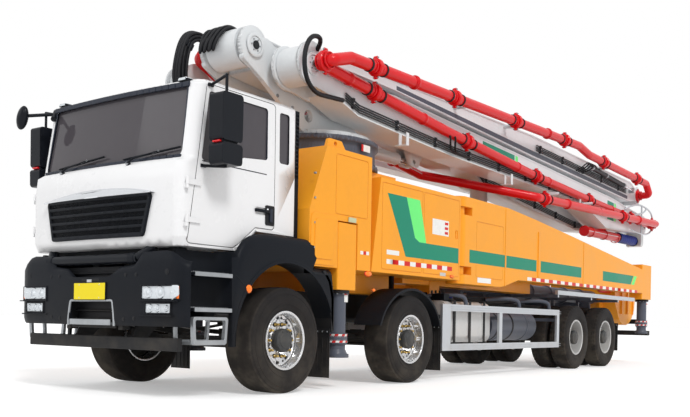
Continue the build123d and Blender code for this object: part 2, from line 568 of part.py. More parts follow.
# ---------------------------------------------------------------- cab fittings
with BuildPart() as grille_frame:
    add(grille_skin.part)
    profile_y(GRILLE, CAB_FRONT_Y - 100, CAB_FRONT_Y + 60, mode=Mode.INTERSECT, radius=40)
    profile_y(GRILLE, CAB_FRONT_Y - 100, CAB_FRONT_Y + 60, mode=Mode.SUBTRACT, radius=40, grow=-30)
    add(cab_outer.part, mode=Mode.SUBTRACT)
with BuildPart() as grille_bars:
    add(grille_skin.part)
    add(grille_bed.part, mode=Mode.SUBTRACT)
    profile_y(GRILLE, CAB_FRONT_Y - 100, CAB_FRONT_Y + 60, mode=Mode.INTERSECT, radius=40, grow=-25)
    for z in (0, 1, 2, 3, 4):
        low = GRILLE[0][1] + 40 + 72 * z
        block(-CAB_HALF, CAB_HALF, CAB_FRONT_Y - 100, CAB_FRONT_Y + 60, low, low + 46, mode=Mode.SUBTRACT)
with BuildPart() as grille_plate:
    add(grille_bed.part)
    profile_y(GRILLE, CAB_FRONT_Y - 100, CAB_FRONT_Y + 60, mode=Mode.INTERSECT, radius=40, grow=-25)
    add(cab_outer.part, mode=Mode.SUBTRACT)
with BuildPart() as dashboard:
    add(cab_inner.part)
    profile_x([(CAB_FRONT_Y, WAIST_Z - 330), (CAB_FRONT_Y, WAIST_Z - 30), (CAB_FRONT_Y + 250, WAIST_Z - 10),
               (CAB_FRONT_Y + 430, WAIST_Z - 70), (CAB_FRONT_Y + 450, WAIST_Z - 210),
               (CAB_FRONT_Y + 330, WAIST_Z - 330)], -CAB_HALF, CAB_HALF, mode=Mode.INTERSECT)

STACK_X0 = CAB_HALF - 110
with BuildPart() as cab_trim:
    add(grille_frame.part)
    add(grille_plate.part)
    add(grille_bars.part)
    add(dashboard.part)
    for name, side in SIDES:
        block(side * STACK_X0, side * (CAB_HALF - 8), CAB_REAR_Y, CAB_REAR_Y + 80, CAB_REAR_FLOOR_Z - 20, EAVES_Z,
              radius=15)
        with BuildSketch(Plane.YZ.offset(min(side * (CAB_HALF - 22), side * CAB_HALF))) as louvres:
            with Locations((CAB_REAR_Y + 40, (WAIST_Z + EAVES_Z) / 2 + 10)):
                with GridLocations(1, 42, 1, 16):
                    Rectangle(56, 24)
        extrude(louvres.sketch, amount=22, mode=Mode.SUBTRACT)
        seat_y, seat_z = CAB_FRONT_Y + 1050, CAB_REAR_FLOOR_Z + CAB_WALL
        block(side * 380, side * 700, seat_y + 30, seat_y + 330, seat_z, seat_z + 240)
        profile_x([(seat_y - 60, seat_z + 240), (seat_y - 60, seat_z + 390), (seat_y + 330, seat_z + 360),
                   (seat_y + 400, seat_z + 1040), (seat_y + 490, seat_z + 1040), (seat_y + 470, seat_z + 240)],
                  side * 290, side * 790, radius=25)
    rod_between((540, CAB_FRONT_Y + 400, WAIST_Z - 130), (540, CAB_FRONT_Y + 560, WAIST_Z + 60), 25)
    with BuildSketch(Plane(origin=(540, CAB_FRONT_Y + 550, WAIST_Z + 48), z_dir=(0, 160, 190))) as wheel:
        Circle(225)
        Circle(200, mode=Mode.SUBTRACT)
        Rectangle(420, 40)
    extrude(wheel.sketch, amount=25)
finish(cab_trim, "cab_trim")

MIRROR_X = CAB_HALF + 235
MIRROR_Y = CAB_FRONT_Y + 360
HANDLE_Y = DOOR_REAR_Y - 100
for name, side in SIDES:
    face = CAB_HALF - GLASS_INSET
    with BuildPart() as door:
        profile_x(DOOR, side * (CAB_HALF - CAB_WALL - 15), side * (CAB_HALF + 30), radius=40)
        add(cab_outer.part, mode=Mode.INTERSECT)
        add(cab_inner.part, mode=Mode.SUBTRACT)
        profile_x(DOOR_WINDOW, side * (CAB_HALF - 120), side * (CAB_HALF + 50), mode=Mode.SUBTRACT, radius=35)
        block(side * (CAB_HALF - 14), side * (CAB_HALF + 5), HANDLE_Y - 165, HANDLE_Y - 5, SILL_Z + 355, SILL_Z + 425,
              mode=Mode.SUBTRACT)
        block(side * (CAB_HALF + 8), side * (CAB_HALF + 26), HANDLE_Y - 185, HANDLE_Y + 15, SILL_Z + 375, SILL_Z + 405)
        for y in (HANDLE_Y - 185, HANDLE_Y - 5):
            block(side * (CAB_HALF - 2), side * (CAB_HALF + 10), y, y + 20, SILL_Z + 375, SILL_Z + 405)
        for z in (SILL_Z + 180 + PIN_FIT, SILL_Z + 520 + PIN_FIT):
            rod_z((side * DOOR_HINGE_X, DOOR_HINGE_Y), z, z + 50, HINGE_R)
            block(side * (CAB_HALF + 6), side * (CAB_HALF + 18), DOOR_HINGE_Y, DOOR[0][0] + 145, z, z + 50)
            block(side * (CAB_HALF - 2), side * (CAB_HALF + 18), DOOR[0][0] + 100, DOOR[0][0] + 145, z, z + 50)
        profile_x(DOOR_WINDOW, side * (face - GLASS), side * face, radius=35, grow=-SEAT)
    finish(door, f"door_{name}")

    with BuildPart() as mirror:
        for z0, z1 in ((WAIST_Z - 30, WAIST_Z + 160), (WAIST_Z + 180, WAIST_Z + 610)):
            profile_x([(MIRROR_Y - 125, z0), (MIRROR_Y - 130, z1), (MIRROR_Y + 135, z1), (MIRROR_Y + 130, z0)],
                      side * (MIRROR_X - 85), side * (MIRROR_X + 85), radius=35)
        for z0, reach_y in ((WAIST_Z - 35, MIRROR_Y - 50), (WAIST_Z + 720, MIRROR_Y + 30)):
            root, lean = (CAB_HALF, 20) if z0 < WAIST_Z else (CAB_HALF - 5.5, -50)
            block(side * root, side * (CAB_HALF + 14), reach_y - 30, reach_y + 30, z0, z0 + 30)
            rod_between((side * (CAB_HALF + 10), reach_y, z0 + 15), (side * MIRROR_X, MIRROR_Y, z0 + 15 - lean), 14)
        rod_z((side * MIRROR_X, MIRROR_Y), WAIST_Z - 50, WAIST_Z + 795, 14)
    finish(mirror, f"mirror_{name}")

# ---------------------------------------------------------------- fenders, steps, guards, tanks
FENDER_X0 = BODY_HALF - 240.0
ARCH = (756.0, 775.0)
WING = (720.0, 620.0)
STEP_Y0 = UNDERRUN_Y + 5
STEP_Y1 = AXLE_1_Y - 800
FENDER_TOP_Z = CAB_REAR_FLOOR_Z - 40
with BuildPart() as fenders:
    for name, side in SIDES:
        profile_x([(STEP_Y1, 790), (STEP_Y1 - 15, CAB_FLOOR_Z - 20), (FLOOR_STEP[0] - 20, CAB_FLOOR_Z - 20),
                   (FLOOR_STEP[1] - 45, FENDER_TOP_Z - 10), (CAB_REAR_Y - 50, FENDER_TOP_Z),
                   (PEDESTAL_FRONT_Y, FENDER_TOP_Z), (PEDESTAL_FRONT_Y, PEDESTAL_BOTTOM_Z - 15),
                   (AXLE_1_Y + 700, PEDESTAL_BOTTOM_Z - 15), (AXLE_1_Y + 755, 1000), (AXLE_1_Y + 755, 640),
                   (AXLE_1_Y, 640)], side * FENDER_X0, side * BODY_HALF)
        with BuildSketch(Plane.YZ.offset(min(side * (FENDER_X0 - 10), side * (BODY_HALF + 10)))) as arch:
            with Locations((AXLE_1_Y, STEER_TYRE_R)):
                Ellipse(*ARCH)
        extrude(arch.sketch, amount=BODY_HALF - FENDER_X0 + 20, mode=Mode.SUBTRACT)
        with BuildSketch(Plane.YZ.offset(min(side * (BODY_HALF - 20), side * (BODY_HALF + 14)))) as lip:
            with Locations((AXLE_1_Y, STEER_TYRE_R)):
                Ellipse(ARCH[0] + 34, ARCH[1] + 34)
                Ellipse(*ARCH, mode=Mode.SUBTRACT)
            with Locations((AXLE_1_Y, STEER_TYRE_R + 80 - 500)):
                Rectangle(2 * ARCH[0] + 200, 1000, mode=Mode.SUBTRACT)
            with Locations((AXLE_1_Y + 1200, PEDESTAL_BOTTOM_Z - 15)):
                Rectangle(1000, 2000, mode=Mode.SUBTRACT)
        extrude(lip.sketch, amount=34)
        with BuildSketch(Plane.YZ.offset(min(side * 860, side * BODY_HALF))) as wing:
            with Locations((AXLE_2_Y, STEER_TYRE_R)):
                Ellipse(*WING)
                Ellipse(WING[0] - 30, WING[1] - 30, mode=Mode.SUBTRACT)
            with Locations((AXLE_2_Y, 0)):
                Rectangle(1500, 1400, mode=Mode.SUBTRACT)
        extrude(wing.sketch, amount=BODY_HALF - 860)
        block(side * 900, side * 940, AXLE_2_Y - 30, AXLE_2_Y + 30, 1140, PEDESTAL_BOTTOM_Z)
        block(side * (FENDER_X0 - 40), side * (FENDER_X0 + 5), STEP_Y0, STEP_Y1 + 5, 740, CAB_FLOOR_Z - 25)
        block(side * RAIL_OUTER_X, side * (FENDER_X0 - 39), RAIL_FRONT_Y + 60, RAIL_FRONT_Y + 110, 900, 960)
        for z in (805, 1125):
            block(side * FENDER_X0, side * (BODY_HALF - 5), STEP_Y0, STEP_Y1 + 5, z, z + 25)
            with BuildSketch(Plane.XY.offset(z - 5)) as gaps:
                with Locations((side * (FENDER_X0 + 132), (STEP_Y0 + STEP_Y1) / 2)):
                    with GridLocations(1, 88, 1, 5):
                        Rectangle(146, 44)
            extrude(gaps.sketch, amount=35, mode=Mode.SUBTRACT)
        profile_x([(STEP_Y0, 755), (STEP_Y1 - 40, 755), (STEP_Y1 - 60, 500), (STEP_Y0 + 15, 500)],
                  side * (BODY_HALF - 45), side * (BODY_HALF - 5), radius=30)
        profile_x([(STEP_Y0, 755), (STEP_Y1 - 40, 755), (STEP_Y1 - 60, 500), (STEP_Y0 + 15, 500)],
                  side * (FENDER_X0 - 30), side * (FENDER_X0), radius=30)
        for x in (FENDER_X0 - 40, BODY_HALF - 60):
            profile_x([(STEP_Y0 + 30, 725), (STEP_Y1 - 72, 725), (STEP_Y1 - 88, 545), (STEP_Y0 + 42, 545)],
                      side * x, side * (x + 70), mode=Mode.SUBTRACT, radius=20)
        block(side * (FENDER_X0 - 20), side * (BODY_HALF - 10), STEP_Y0 + 45, STEP_Y1 - 90, 502, 527)
        block(side * (FENDER_X0 - 20), side * (BODY_HALF - 10), STEP_Y0 + 20, STEP_Y1 - 60, 730, 752)
finish(fenders, "fenders")

GUARD_X0, GUARD_X1 = BODY_HALF - 50.0, BODY_HALF - 10.0
GUARD_Y0, GUARD_Y1 = AXLE_2_Y + 750, AXLE_3_Y - 770
with BuildPart() as guards:
    for name, side in SIDES:
        for z in (380, 900):
            block(side * GUARD_X0, side * GUARD_X1, GUARD_Y0, GUARD_Y1, z, z + 90)
        profile_x([(GUARD_Y0, 380), (GUARD_Y0, 990), (GUARD_Y0 + 210, 990), (GUARD_Y0 + 210, 380)],
                  side * GUARD_X0, side * GUARD_X1, radius=60)
        for y in (GUARD_Y0 + 30, GUARD_Y0 + 1620, GUARD_Y1 - 90):
            block(side * GUARD_X0, side * GUARD_X1, y, y + 90, 400, 970)
            block(side * RAIL_OUTER_X, side * (GUARD_X0 + 10), y + 20, y + 70, 800, 850)
        block(side * (GUARD_X0 - 5), side * (GUARD_X1 + 5), AXLE_3_Y - 850, AXLE_4_Y + 1550, 1240,
              PEDESTAL_BOTTOM_Z)
        for y in (AXLE_3_Y - 800, (AXLE_3_Y + AXLE_4_Y) / 2 - 25, AXLE_4_Y + 650):
            block(side * (RAIL_OUTER_X - 50), side * (GUARD_X0 + 20), y, y + 50, 1195, 1245)
            block(side * (RAIL_OUTER_X - 50), side * RAIL_OUTER_X, y, y + 50, RAIL_TOP_Z, 1245)
finish(guards, "guards")

TANK_Y0, TANK_Y1 = AXLE_2_Y + 1050, AXLE_2_Y + 2300
TANK_X0, TANK_X1 = RAIL_OUTER_X + 80, CAB_HALF - 10
AIR_R = 230.0
AIR_Y0, AIR_Y1 = TANK_Y1 + 250, TANK_Y1 + 1800
with BuildPart() as tanks:
    for name, side in SIDES:
        outline = [(side * TANK_X0, 480), (side * TANK_X1, 480), (side * TANK_X1, 1040), (side * TANK_X0, 1040)]
        profile_y(outline, TANK_Y0, TANK_Y1, radius=110)
        for y in (TANK_Y0 + 200, TANK_Y1 - 260):
            with BuildSketch(Plane.XZ.offset(-y - 60)) as strap:
                flat_outline(outline, 110, 7)
            extrude(strap.sketch, amount=60)
            block(side * RAIL_OUTER_X, side * (TANK_X0 + 60), y, y + 60, RAIL_BOTTOM_Z + 40, 1010)
        rod_z((side * (TANK_X0 + 300), TANK_Y0 + 90), 1030, 1075, 55)
        air_x, air_z = side * (TANK_X1 - 320), 720
        rod_between((air_x, AIR_Y0, air_z), (air_x, AIR_Y1, air_z), AIR_R)
        for y in (AIR_Y0, AIR_Y1):
            rod_between((air_x, y - 25, air_z), (air_x, y + 25, air_z), AIR_R - 60)
        for y in (AIR_Y0 + 300, AIR_Y1 - 350):
            rod_between((air_x, y, air_z), (air_x, y + 60, air_z), AIR_R + 8)
            block(side * RAIL_OUTER_X, air_x, y, y + 60, 790, 850)
finish(tanks, "tanks")


# ---------------------------------------------------------------- body: pedestal, cabinets, hopper
def panel_groove(side, x_face, y0, y1, z0, z1):
    """Shallow groove round a door or hatch in a side face."""
    with BuildSketch(Plane.YZ.offset(min(side * x_face, side * (x_face - 5)))) as groove:
        with Locations(((y0 + y1) / 2, (z0 + z1) / 2)):
            RectangleRounded(y1 - y0, z1 - z0, 30)
            RectangleRounded(y1 - y0 - 14, z1 - z0 - 14, 23, mode=Mode.SUBTRACT)
    extrude(groove.sketch, amount=5, mode=Mode.SUBTRACT)


with BuildPart() as pedestal:
    profile_x([(PEDESTAL_FRONT_Y, PEDESTAL_BOTTOM_Z), (PEDESTAL_FRONT_Y, PEDESTAL_BOTTOM_Z + 590),
               (PEDESTAL_FRONT_Y + 280, PEDESTAL_TOP_Z), (PEDESTAL_REAR_Y, PEDESTAL_TOP_Z),
               (PEDESTAL_REAR_Y, PEDESTAL_BOTTOM_Z)], -BODY_HALF, BODY_HALF)
    block(-CORE_HALF, CORE_HALF, SLEW_Y - DRUM_R, SLEW_Y + DRUM_R, RAIL_TOP_Z, PEDESTAL_TOP_Z)
    for name, side in SIDES:
        block(side * (LEG_X0 - 12), side * (BODY_HALF + 20), LEG_Y0 - 12, LEG_Y1 + 12, 1000, LEG_Z1 + 14,
              mode=Mode.SUBTRACT)
    for z in (LEFT_BEAM_Z, RIGHT_BEAM_Z):
        block(-BODY_HALF - 10, BODY_HALF + 10, LEG_Y0 + BEAM_INSET - RUN, LEG_Y1 - BEAM_INSET + RUN,
              z - PIN_FIT, z + BEAM_H + RUN, mode=Mode.SUBTRACT)
    for name, side in SIDES:
        face = side * BODY_HALF
        profile_x([(PEDESTAL_FRONT_Y + 20, PEDESTAL_BOTTOM_Z + 20), (PEDESTAL_FRONT_Y + 20, PEDESTAL_BOTTOM_Z + 560),
                   (LEG_Y0 - 40, PEDESTAL_BOTTOM_Z + 560), (LEG_Y0 - 40, PEDESTAL_BOTTOM_Z + 20)],
                  face, side * (BODY_HALF + 8), radius=70)
        profile_x([(PEDESTAL_FRONT_Y + 80, PEDESTAL_BOTTOM_Z + 80), (PEDESTAL_FRONT_Y + 80, PEDESTAL_BOTTOM_Z + 500),
                   (LEG_Y0 - 100, PEDESTAL_BOTTOM_Z + 500), (LEG_Y0 - 100, PEDESTAL_BOTTOM_Z + 80)],
                  face, side * (BODY_HALF + 16), radius=55)
        panel_groove(side, BODY_HALF, LEG_Y0 - 60, LEG_Y1 + 200, LEG_Z1 + 80, PEDESTAL_TOP_Z - 60)
        lug_y = PEDESTAL_FRONT_Y + 480
        profile_x([(lug_y - 200, PEDESTAL_TOP_Z - 40), (lug_y - 150, PEDESTAL_TOP_Z + 90),
                   (lug_y + 80, PEDESTAL_TOP_Z + 90), (lug_y + 190, PEDESTAL_TOP_Z - 40)],
                  side * (BODY_HALF - 60), side * (BODY_HALF - 25), radius=30)
        rod_x(side * (BODY_HALF - 70), side * (BODY_HALF - 15), (lug_y - 30, PEDESTAL_TOP_Z + 45), 26,
              mode=Mode.SUBTRACT)
finish(pedestal, "pedestal")

with BuildPart() as slew_drum:
    rod_z((0, SLEW_Y), PEDESTAL_TOP_Z, DRUM_TOP_Z, DRUM_R - DRUM_LIP)
    for z in (PEDESTAL_TOP_Z, DRUM_TOP_Z - 60):
        rod_z((0, SLEW_Y), z, z + 60, DRUM_R)
    with BuildSketch(Plane.XY.offset(PEDESTAL_TOP_Z + 55)) as ring_bolts:
        with Locations((0, SLEW_Y)):
            with PolarLocations(DRUM_R - 18, 36):
                RegularPolygon(14, 6)
    extrude(ring_bolts.sketch, amount=24)
finish(slew_drum, "slew_drum")

CABINET_REAR_Y = SWING_Y - SWING_R - 12
with BuildPart() as side_cabinets:
    for name, side in SIDES:
        profile_x([(CABINET_FRONT_Y, PEDESTAL_BOTTOM_Z), (CABINET_FRONT_Y + 170, CABINET_TOP_Z),
                   (CABINET_REAR_Y, CABINET_TOP_Z), (CABINET_REAR_Y, PEDESTAL_BOTTOM_Z)],
                  side * 760, side * BODY_HALF)
        door_w = (CABINET_REAR_Y - CABINET_FRONT_Y - 230) / 2
        for start in (CABINET_FRONT_Y + 200, CABINET_FRONT_Y + 215 + door_w):
            panel_groove(side, BODY_HALF, start, start + door_w - 15, PEDESTAL_BOTTOM_Z + 40, CABINET_TOP_Z - 50)
            block(side * (BODY_HALF - 12), side * (BODY_HALF + 1), start + door_w - 120, start + door_w - 50,
                  1850, 1960, mode=Mode.SUBTRACT, radius=2)
            block(side * (BODY_HALF - 13), side * (BODY_HALF - 2), start + door_w - 95, start + door_w - 75,
                  1860, 1950)
        block(side * RAIL_OUTER_X, side * 760, AXLE_2_Y + 500, AXLE_3_Y - 900, 1250, 2200)
        block(side * (RAIL_OUTER_X - 50), side * 770, SWING_Y - 130, SWING_Y + 130, RAIL_TOP_Z, 2320)
        for z0, z1 in KNUCKLE_BANDS:
            block(side * RAIL_OUTER_X, side * SWING_X, SWING_Y - 100, SWING_Y + 100, z0, z1)
            rod_z((side * SWING_X, SWING_Y), z0, z1, 100)
            rod_z((side * SWING_X, SWING_Y), z0 - 50, z1 + 50, HINGE_PIN_R)
finish(side_cabinets, "side_cabinets")

with BuildPart() as hopper:
    for shrink, mode in ((0, Mode.ADD), (HOPPER_WALL, Mode.SUBTRACT)):
        front, top = HOPPER_FRONT_Y + shrink, HOPPER_TOP_Z + shrink / 3
        with BuildSketch(Plane.YZ.offset(-HOPPER_HALF + shrink)) as tub:
            with BuildLine():
                Polyline((front, 1250 + shrink / 2), (front, 1600 + shrink / 3), (front - 90 + shrink / 3, top),
                         (6800 - shrink, top), (6650 - shrink, 1100))
                ThreePointArc((6650 - shrink, 1100), (6200 - shrink / 3, 780 + shrink),
                              (5700 + shrink / 2, 900 + shrink))
                Line((5700 + shrink / 2, 900 + shrink), (front, 1250 + shrink / 2))
            make_face()
        extrude(tub.sketch, amount=2 * (HOPPER_HALF - shrink), mode=mode)
    for name, side in SIDES:
        block(side * (HOPPER_HALF - 1), side * (HOPPER_HALF + 40), HOPPER_FRONT_Y - 70, 6800, HOPPER_TOP_Z - 22,
              HOPPER_TOP_Z)
        for y in (5800, 6150, 6500):
            profile_x([(y, HOPPER_TOP_Z - 10), (y + 22, HOPPER_TOP_Z - 10), (y + 22, 1000), (y, 1000)],
                      side * (HOPPER_HALF - 1), side * (HOPPER_HALF + 32))
        profile_x([(HOPPER_FRONT_Y - 140, RAIL_TOP_Z), (HOPPER_FRONT_Y - 140, 1230), (HOPPER_FRONT_Y + 15, 1240),
                   (HOPPER_FRONT_Y + 120, RAIL_TOP_Z)], side * (RAIL_OUTER_X - 70), side * RAIL_OUTER_X)
    block(-HOPPER_HALF - 40, HOPPER_HALF + 40, 6799, 6835, HOPPER_TOP_Z - 22, HOPPER_TOP_Z)
finish(hopper, "hopper")

with BuildPart() as pump_unit:
    for name, side in SIDES:
        rod_between((side * 190, 1500, 1330), (side * 190, HOPPER_FRONT_Y, 1330), 130)
        rod_between((side * 190, -400, 1330), (side * 190, 1500, 1330), 90)
        for y in (2300, 3100, 3900, 4700):
            rod_between((side * 190, y, 1330), (side * 190, y + 40, 1330), 150)
    block(-400, 400, 1400, 1800, RAIL_TOP_Z, 1560)
    block(-400, 400, -500, -400, RAIL_TOP_Z, 1500)
    for y in (3000, 4800):
        block(-400, 400, y, y + 80, RAIL_TOP_Z, 1330)
    profile_y([(-190, RAIL_TOP_Z), (-110, 1400), (-110, 2590), (110, 2590), (110, 1400), (190, RAIL_TOP_Z)], 700, 860)
    block(-200, 200, 640, 920, 2590, 2610, radius=20)
finish(pump_unit, "pump_unit")

DECK_PIPE_X = 560.0
with BuildPart() as deck_pipe:
    route = [(DECK_PIPE_X, HOPPER_FRONT_Y, 1480), (DECK_PIPE_X, 5000, 1480), (DECK_PIPE_X, 4400, 1900),
             (DECK_PIPE_X, 1600, 2290), (DECK_PIPE_X, -1500, 2420), (0, -2400, 2420), (0, SLEW_Y + DRUM_R, 2420)]
    pipe_run(route, 200)
    for start, end, distance in ((2, 3, 300), (3, 4, 400), (3, 4, 1900)):
        coupling(route[start], route[end], distance, COUPLING)
finish(deck_pipe, "deck_pipe")

# ---------------------------------------------------------------- outriggers
for (name, side), beam_z in zip(SIDES, (LEFT_BEAM_Z, RIGHT_BEAM_Z)):
    middle = (side * (LEG_X0 + BODY_HALF) / 2, (LEG_Y0 + LEG_Y1) / 2)
    with BuildPart() as front_arm:
        block(side * LEG_X0, side * BODY_HALF, LEG_Y0, LEG_Y1, LEG_Z0, LEG_Z1, radius=18)
        block(-side * (LEG_X0 - 30), side * (LEG_X0 + 20), LEG_Y0 + BEAM_INSET, LEG_Y1 - BEAM_INSET,
              beam_z, beam_z + BEAM_H)
        rod_z(middle, LEG_Z0 - 10, LEG_Z1 - 40, JACK_R + PIN_FIT, mode=Mode.SUBTRACT)
        block(middle[0] - 60, middle[0] + 60, middle[1] - 60, middle[1] + 60, LEG_Z1 - 5, LEG_Z1 + 9)
    finish(front_arm, f"front_arm_{name}")

    with BuildPart() as front_jack:
        rod_z(middle, FRONT_PAD_Z + 60, LEG_Z1 - 60, JACK_R)
        rod_z(middle, FRONT_PAD_Z, FRONT_PAD_Z + 40, PAD_R)
        with BuildSketch(Plane.XY.offset(FRONT_PAD_Z + 39)) as cone:
            with Locations(middle):
                Circle(PAD_R - 15)
        extrude(cone.sketch, amount=60, taper=25)
    finish(front_jack, f"front_jack_{name}")

ARM_REAR_Y = REAR_LEG_Y0 - 200
ARM_SIDE = [(SWING_Y, ARM_TOP_Z), (SWING_Y + 1280, ARM_TOP_Z - 10), (SWING_Y + 2240, ARM_TOP_Z - 80),
            (SWING_Y + 3730, ARM_TOP_Z - 210), (ARM_REAR_Y - 280, ARM_TOP_Z - 520), (ARM_REAR_Y, ARM_TOP_Z - 545),
            (ARM_REAR_Y, ARM_BOTTOM_Z + 150), (SWING_Y + 1640, ARM_BOTTOM_Z + 130),
            (SWING_Y + 1220, ARM_BOTTOM_Z + 30), (SWING_Y + 1030, ARM_BOTTOM_Z), (SWING_Y, ARM_BOTTOM_Z)]
for name, side in SIDES:
    leg = (side * (REAR_ARM_X0 + BODY_HALF) / 2, (REAR_LEG_Y0 + REAR_LEG_Y1) / 2)
    with BuildPart() as rear_arm:
        profile_x(ARM_SIDE, side * REAR_ARM_X0, side * BODY_HALF)
        rod_z((side * SWING_X, SWING_Y), ARM_BOTTOM_Z, ARM_TOP_Z, SWING_R)
        for z0, z1 in KNUCKLE_BANDS:
            block(side * (SWING_X - 200), side * (BODY_HALF + 60), SWING_Y - 200, SWING_Y + 170, z0 - RUN, z1 + RUN,
                  mode=Mode.SUBTRACT)
            rod_z((side * SWING_X, SWING_Y), z0 - 60, z1 + 60, HINGE_PIN_R + PIN_FIT, mode=Mode.SUBTRACT)
        for y, z0, z1 in ((SWING_Y + 1180, ARM_BOTTOM_Z + 25, ARM_TOP_Z - 9),
                          (SWING_Y + 4200, ARM_BOTTOM_Z + 140, ARM_TOP_Z - 262)):
            block(side * (REAR_ARM_X0 - 6), side * (BODY_HALF + 6), y, y + 36, z0, z1)
        panel_groove(side, BODY_HALF, SWING_Y + 300, SWING_Y + 1120, ARM_BOTTOM_Z + 100, ARM_TOP_Z - 300)
        block(side * REAR_ARM_X0, side * BODY_HALF, ARM_REAR_Y - 20, REAR_LEG_Y1, 1300, 2000, radius=18)
        rod_z(leg, 1250, 1960, JACK_R + PIN_FIT, mode=Mode.SUBTRACT)
    finish(rear_arm, f"rear_arm_{name}")

    with BuildPart() as rear_jack:
        rod_z(leg, REAR_PAD_Z + 60, 1940, JACK_R)
        rod_z(leg, REAR_PAD_Z, REAR_PAD_Z + 40, PAD_R - 10)
        with BuildSketch(Plane.XY.offset(REAR_PAD_Z + 39)) as cone:
            with Locations(leg):
                Circle(PAD_R - 25)
        extrude(cone.sketch, amount=60, taper=20)
    finish(rear_jack, f"rear_jack_{name}")

# ---------------------------------------------------------------- turret
HEAD_Y, HEAD_Z = HEAD_YZ
CHEEK = [(SLEW_Y - 650, DRUM_TOP_Z + 25), (SLEW_Y + 600, DRUM_TOP_Z + 25), (SLEW_Y + 650, DRUM_TOP_Z + 150),
         (SLEW_Y - 100, DRUM_TOP_Z + 380), (HEAD_Y + 220, HEAD_Z + 130), (HEAD_Y - 140, HEAD_Z + 130),
         (HEAD_Y - 180, HEAD_Z - 170), (HEAD_Y + 170, HEAD_Z - 350)]
LIFT_Y, LIFT_Z = -1400.0, DRUM_TOP_Z + 138
with BuildPart() as turret:
    rod_z((0, SLEW_Y), DRUM_TOP_Z + PIN_FIT, DRUM_TOP_Z + 65, DRUM_R - 90)
    for name, side in SIDES:
        profile_x(CHEEK, side * CHEEK_X0, side * CHEEK_X1, radius=40)
        rod_x(side * CHEEK_X0, side * CHEEK_X1, HEAD_YZ, HEAD_R)
        rod_x(side * (CHEEK_X0 - 10), side * (CHEEK_X1 + 10), (SLEW_Y - 550, DRUM_TOP_Z + 230), 75,
              mode=Mode.SUBTRACT)
    profile_x([(SLEW_Y - 650, DRUM_TOP_Z + 25), (SLEW_Y + 600, DRUM_TOP_Z + 25), (SLEW_Y + 650, DRUM_TOP_Z + 110),
               (SLEW_Y - 100, DRUM_TOP_Z + 290), (SLEW_Y - 400, DRUM_TOP_Z + 300), (SLEW_Y - 400, DRUM_TOP_Z + 160)],
              -CHEEK_X0, CHEEK_X0)
    rod_x(-CHEEK_X1 - 10, CHEEK_X1 + 10, HEAD_YZ, PIN_R)
    rod_x(CHEEK_X1 - 1, CHEEK_X1 + 12, HEAD_YZ, 130)
    rod_between((0, SLEW_Y + 580, LIFT_Z - 18), (0, LIFT_Y - 350, LIFT_Z - 3), 85)
    rod_between((0, LIFT_Y - 350, LIFT_Z - 3), (0, LIFT_Y - 50, LIFT_Z), 45)
    rod_x(-45, 45, (LIFT_Y, LIFT_Z), 75)
    rod_x(-60, 60, (LIFT_Y, LIFT_Z), 36, mode=Mode.SUBTRACT)
finish(turret, "turret")

TURRET_PIPE_X = 570.0
with BuildPart() as turret_pipe:
    route = [(-480, SLEW_Y, DRUM_TOP_Z + 65), (-480, SLEW_Y, DRUM_TOP_Z + 210),
             (-TURRET_PIPE_X, SLEW_Y - 300, DRUM_TOP_Z + 310), (-TURRET_PIPE_X, *HEAD_YZ), (-486, *HEAD_YZ)]
    pipe_run(route, 79)
    rod_x(-502, -486, HEAD_YZ, PIPE_R + 15)
finish(turret_pipe, "turret_pipe")


# ---------------------------------------------------------------- boom
def box_section(points, x0, x1):
    """Welded box section: side plates set back from the edges of the flanges."""
    profile_x(points, x0, x1)
    for face, inward in ((min(x0, x1), 1), (max(x0, x1), -1)):
        profile_x(points, face, face + inward * SET_BACK, mode=Mode.SUBTRACT, grow=-PLATE)


SET_BACK = 8.0
with BuildPart() as boom_1:
    box_section([(HEAD_Y + 180, HEAD_Z + 180), (6600, 3130), (6800, 3100), (6800, 2800), (6450, 2760), (4450, 2640),
                 (500, 2985), (250, 3130), (-600, 3150), (-4950, 3560)], -LANE_1, LANE_1)
    rod_x(-LANE_1, LANE_1, HEAD_YZ, HEAD_R)
    rod_x(-LANE_1 - 10, LANE_1 + 10, HEAD_YZ, PIN_R + PIN_FIT, mode=Mode.SUBTRACT)
    rod_x(-LANE_1, LANE_1, J12_YZ, BOSS_R)
    rod_x(LANE_1 - 10, LANE_L1, J12_YZ, PIN_R + 10)
    block(-100, 100, 660, 900, 2615, 3000)
    for y, z in ((1480, 2905), (3000, 2920)):
        block(LANE_1 - 10, PIPE_1_X, y, y + 60, z, z + 50)
    for name, side in SIDES:
        profile_x([(LIFT_Y - 120, LIFT_Z - 68), (LIFT_Y + 100, LIFT_Z - 68), (LIFT_Y + 300, 3300),
                   (LIFT_Y - 300, 3300)], side * 55, side * 95)
        rod_x(side * 50, side * 100, (LIFT_Y, LIFT_Z), 36, mode=Mode.SUBTRACT)
finish(boom_1, "boom_1")

